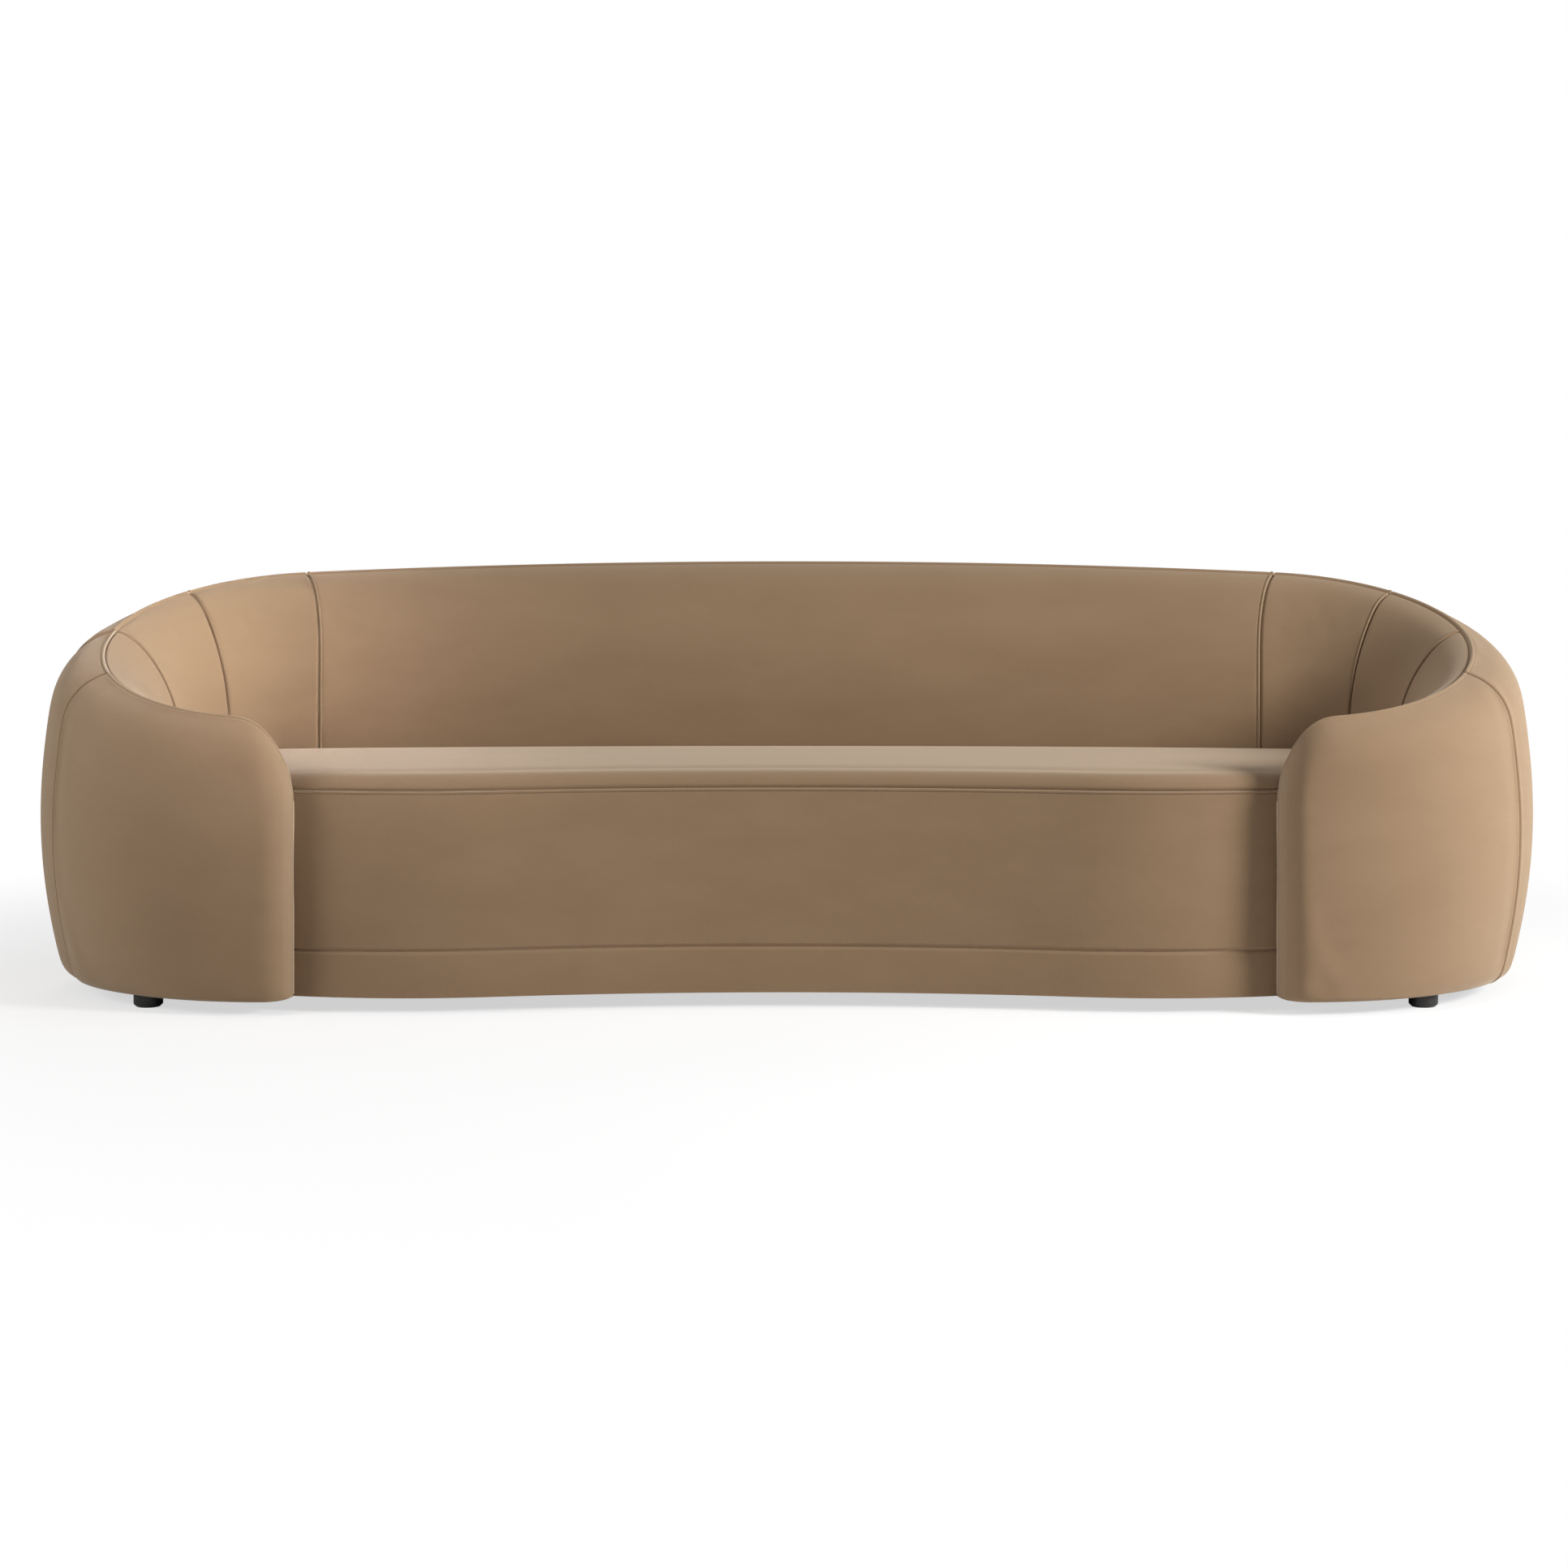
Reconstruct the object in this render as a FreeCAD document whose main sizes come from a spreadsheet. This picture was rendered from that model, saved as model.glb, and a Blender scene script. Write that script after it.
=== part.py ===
import FreeCAD, Part
import math
import os
from types import SimpleNamespace

import Sketcher
from FreeCAD import Vector

os.makedirs("parts", exist_ok=True)
doc = FreeCAD.newDocument("curved_sofa")

# Driving dimensions, in millimetres, and turns of the plan curve in degrees
# The shell follows one plan curve: a shallow arc behind the seat, a tight arc round each corner and a
# short straight run to the arm's end. Inset and belly are measured square to that curve.
SIZES = {
    "corner_centre_x": 925,
    "corner_radius": 433,
    "back_bow": 62,
    "arm_end_x": 885,
    "underside_height": 28,
    "seat_height": 432,
    "back_height": 786,
    "arm_height": 528,
    "belly_back": 50,
    "belly_arm": 15,
    "crest_inset_back": 63,
    "crest_inset_arm": 42,
    "lean_back": 145,
    "lean_side": 128,
    "lean_arm": 24,
    "shoulder_drop": 108,
    "shoulder_out": 33,
    "hem_height": 27,
    "hem_in": 37,
    "hem_inset_back": 22,
    "hem_inset_arm": 8,
    "arm_corner_run": 105,
    "arm_corner_drop": 150,
    "arm_nose_radius": 40,
    "arm_tip": 4,
    "arm_nose_gap": 6,
    "seam_two_turn": 46,
    "seam_three_turn": 83,
    "arm_seam_turn": 118,
    "cover_thickness": 2,
    "clearance": 0.3,
    "seat_gap": 1.5,
    "seat_front_mid_y": 107,
    "seat_nose_y": 36,
    "seat_nose_x": 678,
    "seat_nose_radius": 700,
    "seat_edge_radius": 32,
    "seat_crown": 7,
    "seat_seam_drop": 34,
    "plinth_seam_height": 111,
    "front_pad_thickness": 18,
    "frame_bottom": 42,
    "panel_thickness": 6,
    "crest_pad": 50,
    "top_rail_height": 35,
    "rail_thickness": 20,
    "deck_height": 235,
    "deck_thickness": 18,
    "deck_ledge": 40,
    "webbing_thickness": 2,
    "webbing_width": 50,
    "webbing_pitch": 145,
    "webbing_count": 13,
    "cross_rail_pitch": 600,
    "cross_rail_height": 150,
    "post_width": 45,
    "arm_board_thickness": 18,
    "foot_diameter": 53,
    "foot_bevel": 5,
    "foot_inset": 50,
    "front_foot_turn": 143,
    "rear_foot_turn": 42,
    "foot_plate_thickness": 18,
    "foot_plate_width": 80,
    "foot_plate_turn": 11,
    "bolt_diameter": 8,
    "bolt_head_diameter": 18,
    "bolt_head_height": 3,
    "bolt_depth": 15,
    "dust_cover_thickness": 1.5,
    "dust_cover_inset": 3,
}

# Turn in degrees between the stations that the shell's pieces are lofted through
STATION_STEP = 12

# Shares of the arm's rounded end at which it has a station
END_SHARES = (1, 0.762, 0.552, 0.381, 0.267, 0.1715)

sheet = doc.addObject("Spreadsheet::Sheet", "Dimensions")
for row, (name, value) in enumerate(SIZES.items(), start=1):
    sheet.set(f"A{row}", name)
    sheet.set(f"B{row}", str(value))
    sheet.setAlias(f"B{row}", name)
doc.recompute()
size = SimpleNamespace(**{name: float(getattr(sheet, name)) for name in SIZES})

# Plan curve of the shell
back_turn = 2 * math.atan(size.back_bow / size.corner_centre_x)
back_radius = size.corner_radius + size.corner_centre_x / math.sin(back_turn)
shell_depth = 2 * size.corner_radius + size.back_bow + size.belly_back + size.belly_arm
front_y = -shell_depth / 2 + size.belly_arm
corner_y = front_y + size.corner_radius
back_centre_y = corner_y + (size.corner_radius - back_radius) * math.cos(back_turn)
back_run = back_radius * back_turn
corner_run = size.corner_radius * (math.pi - back_turn)
total_run = back_run + corner_run + size.corner_centre_x - size.arm_end_x
crest_back_y = back_centre_y + back_radius - size.crest_inset_back
crest_arm_y = front_y + size.crest_inset_arm
deck_top = size.deck_height + size.deck_thickness
webbing_top = deck_top + size.webbing_thickness
foam_depth = size.cover_thickness + size.clearance
seat_seam_height = size.seat_height - size.seat_seam_drop


def smooth(value):
    share = min(max(value, 0.0), 1.0)
    return share * share * (3 - 2 * share)


def run_at(turn_degrees):
    """Distance along the plan curve, from the middle of the back, where it has turned this much."""
    return back_run + size.corner_radius * (math.radians(turn_degrees) - back_turn)


def plan_point(run):
    """Point of the plan curve and its turn in radians."""
    if run <= back_run:
        turn = run / back_radius
        centre = Vector(0, back_centre_y, 0)
        radius = back_radius
    elif run <= back_run + corner_run:
        turn = back_turn + (run - back_run) / size.corner_radius
        centre = Vector(size.corner_centre_x, corner_y, 0)
        radius = size.corner_radius
    else:
        past = run - back_run - corner_run
        return Vector(size.corner_centre_x - past, front_y, 0), math.pi
    return centre + Vector(math.sin(turn), math.cos(turn), 0) * radius, turn


def wall_at(run, depth):
    """Insets, belly and heights of the wall at one station, with depth under the cover's face."""
    point, turn = plan_point(run)
    arm_share = smooth((turn / math.pi - 0.55) / 0.45)
    belly = size.belly_back + (size.belly_arm - size.belly_back) * arm_share
    inset = size.crest_inset_back + (size.crest_inset_arm - size.crest_inset_back) * arm_share
    hem = size.hem_inset_back + (size.hem_inset_arm - size.hem_inset_back) * arm_share
    if turn < math.pi / 2:
        lean = size.lean_back + (size.lean_side - size.lean_back) * smooth(turn / (math.pi / 2))
    else:
        fade = math.sin((turn - math.pi / 2) / 2) ** 2 * 2
        lean = size.lean_side + (size.lean_arm - size.lean_side) * fade
    crest_y = point.y - inset * math.cos(turn)
    rise = (crest_y - crest_arm_y) / (crest_back_y - crest_arm_y)
    crest = size.arm_height + (size.back_height - size.arm_height) * rise
    left = max(total_run - run - depth, 0.0)
    if left < size.arm_corner_run:
        along = 1 - left / size.arm_corner_run
        crest -= size.arm_corner_drop * (1 - math.sqrt(1 - along ** 2.2))
    squeeze = 1.0
    if left < size.arm_nose_radius:
        along = 1 - left / size.arm_nose_radius
        squeeze = 0.1 + 0.9 * math.sqrt(1 - along * along)
    return SimpleNamespace(point=point, turn=turn, belly=belly, inset=inset, hem=hem, lean=lean,
                           crest=crest, squeeze=squeeze)


def wall_chain(run, depth, low):
    """Corners and arc middles of the wall's outline: up the inside face, over the crest and down."""
    wall = wall_at(run, depth)
    fullness = wall.belly / size.belly_back
    inner = -(wall.inset + wall.lean)
    seat_level = min(size.seat_height, wall.crest - 20)
    height = max(wall.crest - size.seat_height, 20)
    shoulder = min(size.shoulder_drop, (wall.crest - size.underside_height) / 2)
    hem_z = size.underside_height + size.hem_height
    reach = size.shoulder_out * fullness + wall.inset
    chain = [
        (inner, low),
        (inner, (low + seat_level) / 2),
        (inner, seat_level),
        (-(wall.inset + 0.814 * wall.lean), wall.crest - 0.44 * height),
        (-(wall.inset + 0.414 * wall.lean), wall.crest - 0.127 * height),
        (-(wall.inset + 0.241 * wall.lean), wall.crest - 0.045 * height),
        (-wall.inset, wall.crest),
        (-wall.inset + 0.723 * reach, wall.crest - 0.324 * shoulder),
        (size.shoulder_out * fullness, wall.crest - shoulder),
        (wall.belly, (hem_z + wall.crest - shoulder) / 2 + 5),
        (wall.belly - size.hem_in * fullness, hem_z),
        ((wall.belly - size.hem_in * fullness) * 0.6 - wall.hem * 0.18, size.underside_height + 8),
        (-wall.hem, size.underside_height),
    ]
    squeezed = [(inner + (n - inner) * wall.squeeze, z) for n, z in chain]
    return inset_chain(squeezed, depth)


def side_normals(a, b, c):
    """Unit normals to the right of travel at the start, middle and end of an arc or a line."""
    cross = (b[0] - a[0]) * (c[1] - b[1]) - (b[1] - a[1]) * (c[0] - b[0])
    length = math.hypot(c[0] - a[0], c[1] - a[1])
    if abs(cross) < 1e-6 * length * length:
        flat = ((c[1] - a[1]) / length, -(c[0] - a[0]) / length)
        return flat, flat, flat
    centre = circle_centre(a, b, c)
    normals = []
    for p in (a, b, c):
        radius = math.hypot(p[0] - centre[0], p[1] - centre[1])
        sign = 1 if cross < 0 else -1
        normals.append((sign * (centre[0] - p[0]) / radius, sign * (centre[1] - p[1]) / radius))
    return normals


def circle_centre(a, b, c):
    ax, ay = b[0] - a[0], b[1] - a[1]
    bx, by = c[0] - a[0], c[1] - a[1]
    cross = 2 * (ax * by - ay * bx)
    x = (by * (ax * ax + ay * ay) - ay * (bx * bx + by * by)) / cross
    y = (ax * (bx * bx + by * by) - bx * (ax * ax + ay * ay)) / cross
    return a[0] + x, a[1] + y


def inset_chain(chain, depth):
    """The chain moved to the right of its travel by depth, mitred at its corners."""
    if depth == 0:
        return list(chain)
    normals = [side_normals(*chain[i:i + 3]) for i in range(0, len(chain) - 2, 2)]
    result = []
    for i, (x, y) in enumerate(chain):
        if i % 2:
            nx, ny = normals[i // 2][1]
        elif i == 0:
            nx, ny = normals[0][0]
        elif i == len(chain) - 1:
            nx, ny = normals[-1][2]
        else:
            before = normals[i // 2 - 1][2]
            after = normals[i // 2][0]
            nx, ny = before[0] + after[0], before[1] + after[1]
            scale = 2 / (nx * nx + ny * ny)
            nx, ny = nx * scale, ny * scale
        result.append((x + nx * depth, y + ny * depth))
    return result


def chain_edges(points):
    """Arcs or lines through a chain of vectors that alternates corners and middles."""
    edges = []
    for i in range(0, len(points) - 2, 2):
        a, b, c = points[i:i + 3]
        if (b - a).cross(c - a).Length < 1e-4 * (c - a).Length ** 2:
            edges.append(Part.makeLine(a, c))
        else:
            edges.append(Part.Arc(a, b, c).toShape())
    return edges


def closed_wire(points, corners=()):
    """Closed wire of a chain's edges, then straight lines through the corners and back."""
    edges = chain_edges(points)
    path = [points[-1], *corners, points[0]]
    edges += [Part.makeLine(a, b) for a, b in zip(path, path[1:])]
    return Part.Wire(edges)


def in_space(run, pairs):
    """Points of a wall section, given as inset and height, put into the room."""
    point, turn = plan_point(run)
    outward = Vector(math.sin(turn), math.cos(turn), 0)
    return [point + outward * n + Vector(0, 0, z) for n, z in pairs]


def stations(start, end):
    """Runs of the stations from start to end, closer together where the arm's end rounds off."""
    marks = {start, end}
    for turn in range(0, 181, STATION_STEP):
        marks.add(run_at(turn))
    marks.add(back_run)
    marks.add(back_run / 2)
    for share in END_SHARES:
        marks.add(total_run - share * size.arm_corner_run)
    marks.add(total_run - size.arm_tip - size.arm_nose_gap)
    marks.add(total_run - size.arm_tip)
    inside = sorted(mark for mark in marks if start + 3 < mark < end - 2)
    return [start, *inside, end]


def both_sides(start, end):
    """Stations from the left side to the right, over the middle of the back."""
    right = stations(start, end)
    return [-run for run in reversed(right)] + right[1:]


def wall_wire(run, pairs, corners=()):
    """Closed wire of a section chain and straight corners, placed at one station of either side."""
    placed = in_space(abs(run), [*pairs, *corners])
    if run < 0:
        placed = [Vector(-p.x, p.y, p.z) for p in placed]
    return closed_wire(placed[:len(pairs)], placed[len(pairs):])


def loft(wires, ruled=False):
    return Part.makeLoft(wires, True, ruled)


def skin(runs, side, low):
    """Cover lofted along the wall over one side of its outline."""
    wires = []
    for run in runs:
        face = wall_chain(abs(run), 0, low)[side]
        back = wall_chain(abs(run), size.cover_thickness, low)[side]
        placed = in_space(abs(run), [*face, *back])
        if run < 0:
            placed = [Vector(-p.x, p.y, p.z) for p in placed]
        outer = placed[:len(face)]
        inner = placed[len(face):]
        ends = [Part.makeLine(outer[-1], inner[-1]), Part.makeLine(inner[0], outer[0])]
        wires.append(Part.Wire(chain_edges(outer) + ends[:1] + chain_edges(inner[::-1]) + ends[1:]))
    return loft(wires)


# Part of the outline that each side of the cover takes
INSIDE = slice(0, 7)
OUTSIDE = slice(6, 13)


def rail_height(run):
    """Top of the frame at a station."""
    return wall_at(abs(run), 0).crest - size.crest_pad


def box_wire(run, outer, inner, bottom, top):
    """Four-sided section of a frame piece. A line is a chain of three points."""
    middle = (outer + inner) / 2
    chain = [(outer, bottom), (middle, bottom), (inner, bottom)]
    return wall_wire(run, chain, [(inner, top), (outer, top)])


def inside_pad_wire(run):
    low = deck_top + size.clearance
    chain = wall_chain(abs(run), foam_depth, low)[INSIDE]
    back = chain[-1][0] - size.clearance
    chain[-1] = (back, chain[-1][1])
    return wall_wire(run, chain, [(back, low)])


def outside_pad_wire(run):
    chain = wall_chain(abs(run), foam_depth, deck_top)[OUTSIDE]
    lip = size.frame_bottom - size.clearance
    top = rail_height(run) + size.clearance
    corners = [(chain[-1][0], lip), (size.clearance, lip), (size.clearance, top), (chain[0][0], top)]
    return wall_wire(run, chain, corners)


def nose_pad_wire(run):
    depth = foam_depth + size.clearance
    return wall_wire(run, wall_chain(run, depth, size.underside_height + depth))


def tip_wire(run):
    return wall_wire(run, wall_chain(run, 0, size.underside_height))


def return_wire(run):
    wall = wall_at(run, 0)
    inner = -(wall.inset + wall.lean)
    low = size.underside_height + size.dust_cover_thickness + size.clearance
    return box_wire(run, inner, inner + size.cover_thickness, low, deck_top + size.clearance)


def panel_wire(run):
    return box_wire(run, 0, -size.panel_thickness, size.frame_bottom, rail_height(run))


def top_rail_wire(run):
    outer = -(size.panel_thickness + size.clearance)
    inner = -(wall_at(abs(run), 0).inset - size.clearance)
    return box_wire(run, outer, inner, rail_height(run) - size.top_rail_height, rail_height(run))


def base_rail_wire(run):
    outer = -(size.panel_thickness + size.clearance)
    return box_wire(run, outer, outer - size.rail_thickness, size.frame_bottom, size.deck_height)


def deck_wire(run):
    wall = wall_at(abs(run), 0)
    fade = smooth((math.degrees(wall.turn) - size.seam_three_turn) / 40)
    ledge = size.deck_ledge - (size.deck_ledge + foam_depth) * fade
    outer = -(size.panel_thickness + size.clearance)
    return box_wire(run, outer, -(wall.inset + wall.lean + ledge), size.deck_height, deck_top)


def post_wire(run):
    outer = -(size.panel_thickness + size.clearance)
    inner = -(wall_at(abs(run), 0).inset - size.clearance)
    top = rail_height(run) - size.top_rail_height - size.clearance
    return box_wire(run, outer, inner, deck_top, top)


def board_wire(run):
    inner = -(wall_at(run, 0).inset - size.clearance)
    return box_wire(run, 0, inner, size.frame_bottom, rail_height(run))


def foot_plate_wire(run):
    outer = -(size.panel_thickness + size.rail_thickness + 2 * size.clearance)
    bottom = size.underside_height + size.dust_cover_thickness
    return box_wire(run, outer, outer - size.foot_plate_width, bottom, bottom + size.foot_plate_thickness)


NODES = []


def add_part(name, shape):
    """A sub-part whose shape follows the wall's sections."""
    part = doc.addObject("Part::Feature", name)
    part.Label = name
    part.Shape = shape
    part.Placement = FreeCAD.Placement()
    NODES.append(part)
    return part


def add_mirrored(name, source):
    """The left-hand twin of a right-hand sub-part."""
    part = doc.addObject("Part::Mirroring", name)
    part.Label = name
    part.Source = source
    part.Base = Vector(0, 0, 0)
    part.Normal = Vector(1, 0, 0)
    NODES.append(part)
    return part


def add_pair(stem, shape):
    right = add_part(f"{stem}_right", shape)
    return right, add_mirrored(f"{stem}_left", right)


seam_two = run_at(size.seam_two_turn)
seam_three = run_at(size.seam_three_turn)
arm_seam = run_at(size.arm_seam_turn)
nose_start = total_run - size.arm_corner_run
tip_start = total_run - size.arm_tip
frame_end = nose_start - size.arm_board_thickness - 2 * size.clearance
back_stations = both_sides(0, back_run)

# Velvet covers of the inside, from the seam along the rim down to the seat
tuck = deck_top + size.clearance
add_part("inside_back_cover", skin(back_stations, INSIDE, tuck))
add_pair("inside_quarter_cover", skin(stations(back_run, seam_two), INSIDE, tuck))
add_pair("inside_corner_cover", skin(stations(seam_two, seam_three), INSIDE, tuck))
add_pair("inside_arm_cover", skin(stations(seam_three, tip_start), INSIDE, tuck))
return_runs = stations(nose_start, tip_start)
add_pair("arm_return_cover", loft([return_wire(run) for run in return_runs], ruled=True))
add_pair("arm_end_edge", loft([tip_wire(total_run - left) for left in (size.arm_tip, size.arm_tip / 2, 0)]))

# Velvet covers of the outside, from the rim down under the edge
# The left side has one seam more, over the top at the third inside seam.
add_part("outside_back_cover", skin(back_stations, OUTSIDE, tuck))
add_pair("outside_quarter_cover", skin(stations(back_run, seam_two), OUTSIDE, tuck))
add_part("outside_side_cover_right", skin(stations(seam_two, arm_seam), OUTSIDE, tuck))
left_corner_runs = [-run for run in stations(seam_two, seam_three)]
left_side_runs = [-run for run in stations(seam_three, arm_seam)]
add_part("outside_corner_cover_left", skin(left_corner_runs, OUTSIDE, tuck))
add_part("outside_side_cover_left", skin(left_side_runs, OUTSIDE, tuck))
add_pair("arm_front_cover", skin(stations(arm_seam, tip_start), OUTSIDE, tuck))

# Foam pads on both faces of the frame, and the foam nose of each arm
pad_end = nose_start - size.clearance
corner_runs = stations(back_run + size.clearance, seam_three)
arm_runs = stations(seam_three + size.clearance, pad_end)
add_part("inside_back_pad", loft([inside_pad_wire(run) for run in back_stations]))
add_pair("inside_corner_pad", loft([inside_pad_wire(run) for run in corner_runs]))
add_pair("inside_arm_pad", loft([inside_pad_wire(run) for run in arm_runs]))
add_part("outside_back_pad", loft([outside_pad_wire(run) for run in back_stations]))
add_pair("outside_corner_pad", loft([outside_pad_wire(run) for run in corner_runs]))
add_pair("outside_arm_pad", loft([outside_pad_wire(run) for run in arm_runs]))
nose_runs = stations(nose_start, tip_start - size.arm_nose_gap)
add_pair("arm_nose_pad", loft([nose_pad_wire(run) for run in nose_runs], ruled=True))

# Frame of the shell: bent panels, top rails, base rails, deck rim, posts and arm boards
side_runs = stations(back_run + size.clearance, frame_end)
for stem, section in (("panel", panel_wire), ("top_rail", top_rail_wire), ("base_rail", base_rail_wire)):
    add_part(f"back_{stem}", loft([section(run) for run in back_stations]))
    add_pair(f"side_{stem}", loft([section(run) for run in side_runs]))
add_part("deck_rim", loft([deck_wire(run) for run in both_sides(0, frame_end)]))
board_runs = (frame_end + size.clearance, pad_end)
add_pair("arm_board", loft([board_wire(run) for run in board_runs]))

half_post = size.post_width / 2
post_centres = [back_run / 3, back_run - size.post_width]
post_centres += [run_at(turn) for turn in (size.seam_two_turn, size.seam_three_turn, size.arm_seam_turn)]
posts = []
for centre in post_centres:
    for side in (1, -1):
        posts.append(loft([post_wire(side * (centre + step)) for step in (-half_post, half_post)]))
add_part("frame_posts", Part.makeCompound(posts))


# Plan of the seat
# Its front is a shallow hollow between two rounded noses, and its sides and back follow the shell.
nose_slope = 2 * (size.seat_front_mid_y - size.seat_nose_y) / size.seat_nose_x
hollow_end_x = size.seat_nose_x - nose_slope * size.seat_nose_radius
hollow_radius = hollow_end_x / nose_slope
front_end_x = size.arm_end_x + 2 * size.arm_tip


def seat_front_y(x):
    """Depth of the seat's front face at one place across."""
    x = abs(x)
    if x < hollow_end_x:
        return front_y + size.seat_front_mid_y - x * x / (2 * hollow_radius)
    return front_y + size.seat_nose_y + (x - size.seat_nose_x) ** 2 / (2 * size.seat_nose_radius)


def inner_face(run, gap):
    """Plan point on the inside face of the shell, or a gap in front of it."""
    wall = wall_at(run, 0)
    outward = Vector(math.sin(wall.turn), math.cos(wall.turn), 0)
    return wall.point - outward * (wall.inset + wall.lean + gap)


def front_chain(depth):
    """Front of the seat from the right arm to the left one, set back by depth."""
    join = inner_face(nose_start, size.seat_gap)
    right = [(join.x, join.y)]
    marks = [front_end_x, hollow_end_x, 0]
    right.append(((join.x + front_end_x) / 2, (join.y + seat_front_y(front_end_x)) / 2))
    for start, end in zip(marks, marks[1:]):
        middle = (start + end) / 2
        right += [(start, seat_front_y(start)), (middle, seat_front_y(middle))]
    centre = [(0, seat_front_y(0))]
    left = [(-x, y) for x, y in reversed(right)]
    return [Vector(x, y, 0) for x, y in inset_chain(right + centre + left, depth)]


def plan_chain(point_at, runs):
    """Corners and middles of a curve in plan, through a function of the run."""
    chain = [point_at(runs[0])]
    for start, end in zip(runs, runs[1:]):
        chain += [point_at((start + end) / 2), point_at(end)]
    return chain


def mirrored(points):
    return [Vector(-p.x, p.y, p.z) for p in points]


def seat_outline(depth, gap):
    front = front_chain(depth)
    runs = sorted({nose_start, back_run, 0.0, *(run_at(turn) for turn in range(24, 168, 16))})
    right = plan_chain(lambda run: inner_face(run, gap), runs)
    right[-1] = front[0]
    around = mirrored(right)[::-1] + right[1:]
    edges = chain_edges(around) + chain_edges(front)
    return Part.Face(Part.Wire(edges))


def band(depth, thickness):
    """Plan face of a sheet that follows the seat's front."""
    outer = front_chain(depth)
    inner = front_chain(depth + thickness)
    ends = [Part.makeLine(outer[-1], inner[-1]), Part.makeLine(inner[0], outer[0])]
    return Part.Face(Part.Wire(chain_edges(outer) + ends[:1] + chain_edges(inner[::-1]) + ends[1:]))


def add_extruded(name, face, bottom, height_rule):
    """A plan face raised to a height that is bound to the sheet."""
    profile = doc.addObject("Part::Feature", f"{name}_plan")
    profile.Shape = face
    profile.Placement = FreeCAD.Placement(Vector(0, 0, bottom), FreeCAD.Rotation())
    part = doc.addObject("Part::Extrusion", name)
    part.Label = name
    part.Base = profile
    part.DirMode = "Custom"
    part.Dir = Vector(0, 0, 1)
    part.Solid = True
    part.setExpression("LengthFwd", height_rule)
    NODES.append(part)
    return part


def seat_block(depth, gap, bottom):
    """Seat cushion: the plan raised to a crowned top whose front edge is rounded."""
    high = size.seat_height - depth
    block = seat_outline(depth, gap).translated(Vector(0, 0, bottom)).extrude(Vector(0, 0, high - bottom))
    front = seat_front_y(0) + depth
    back = crest_back_y
    middle = (front + back) / 2
    low = high - size.seat_crown
    beyond = size.seat_edge_radius
    ends = [Vector(0, front - 4 * beyond, low), Vector(0, back + beyond, low)]
    crown = Part.Arc(ends[0], Vector(0, middle, high), ends[1]).toShape()
    floor = [Vector(0, back + beyond, bottom - 1), Vector(0, front - 4 * beyond, bottom - 1)]
    sides = [Part.makeLine(a, b) for a, b in zip([ends[1], *floor], [*floor, ends[0]])]
    half = size.corner_centre_x + size.corner_radius
    side_view = Part.Face(Part.Wire([crown, *sides])).translated(Vector(-half, 0, 0))
    crowned = block.common(side_view.extrude(Vector(2 * half, 0, 0)))
    edges = [edge for edge in crowned.Edges if is_front_top(edge, high - 3 * size.seat_crown, front)]
    return crowned.makeFillet(size.seat_edge_radius - depth, edges)


def is_front_top(edge, lowest, front):
    """True for the edges that the seat's front makes with its top."""
    middle = edge.valueAt((edge.FirstParameter + edge.LastParameter) / 2)
    flat = abs(edge.BoundBox.ZLength) < 2 * size.seat_crown
    return flat and edge.BoundBox.ZMin > lowest and middle.y < front + 2 and abs(middle.x) < front_end_x


# Seat: cushion core, top cover, front cover, plinth band, front pad and dust cover
core_bottom = webbing_top + size.clearance
add_part("seat_core", seat_block(foam_depth, size.seat_gap + foam_depth, core_bottom))
outer_block = seat_block(0, size.seat_gap, core_bottom)
inner_block = seat_block(size.cover_thickness, size.seat_gap + size.cover_thickness, core_bottom - 1)
above_seam = Part.makeBox(3 * total_run, 3 * total_run, size.seat_height)
above_seam.translate(Vector(-1.5 * total_run, -1.5 * total_run, seat_seam_height))
add_part("seat_top_cover", outer_block.cut(inner_block).common(above_seam))
cover_face = band(0, size.cover_thickness)
add_extruded("seat_front_cover", cover_face, size.plinth_seam_height,
             "Dimensions.seat_height - Dimensions.seat_seam_drop - Dimensions.plinth_seam_height")
add_extruded("plinth_band", cover_face, size.underside_height,
             "Dimensions.plinth_seam_height - Dimensions.underside_height")
pad_face = band(foam_depth, size.front_pad_thickness)
add_extruded("seat_front_pad", pad_face, size.frame_bottom,
             "Dimensions.deck_height + Dimensions.deck_thickness - Dimensions.frame_bottom")
rail_depth = foam_depth + size.front_pad_thickness + size.clearance
rail_face = band(rail_depth, size.rail_thickness)
add_extruded("front_rail", rail_face, size.frame_bottom,
             "Dimensions.deck_height + Dimensions.deck_thickness - Dimensions.frame_bottom")


def hem_line(run):
    """Plan point on the edge of the dust cover, just inside the shell's hem."""
    wall = wall_at(run, 0)
    outward = Vector(math.sin(wall.turn), math.cos(wall.turn), 0)
    return wall.point - outward * (wall.hem + size.dust_cover_inset)


def foot_place(turn_degrees):
    point, turn = plan_point(run_at(turn_degrees))
    return point - Vector(math.sin(turn), math.cos(turn), 0) * size.foot_inset


foot_places = {}
for end_name, turn in (("front", size.front_foot_turn), ("rear", size.rear_foot_turn)):
    place = foot_place(turn)
    foot_places[f"{end_name}_right"] = place
    foot_places[f"{end_name}_left"] = Vector(-place.x, place.y, 0)

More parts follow.
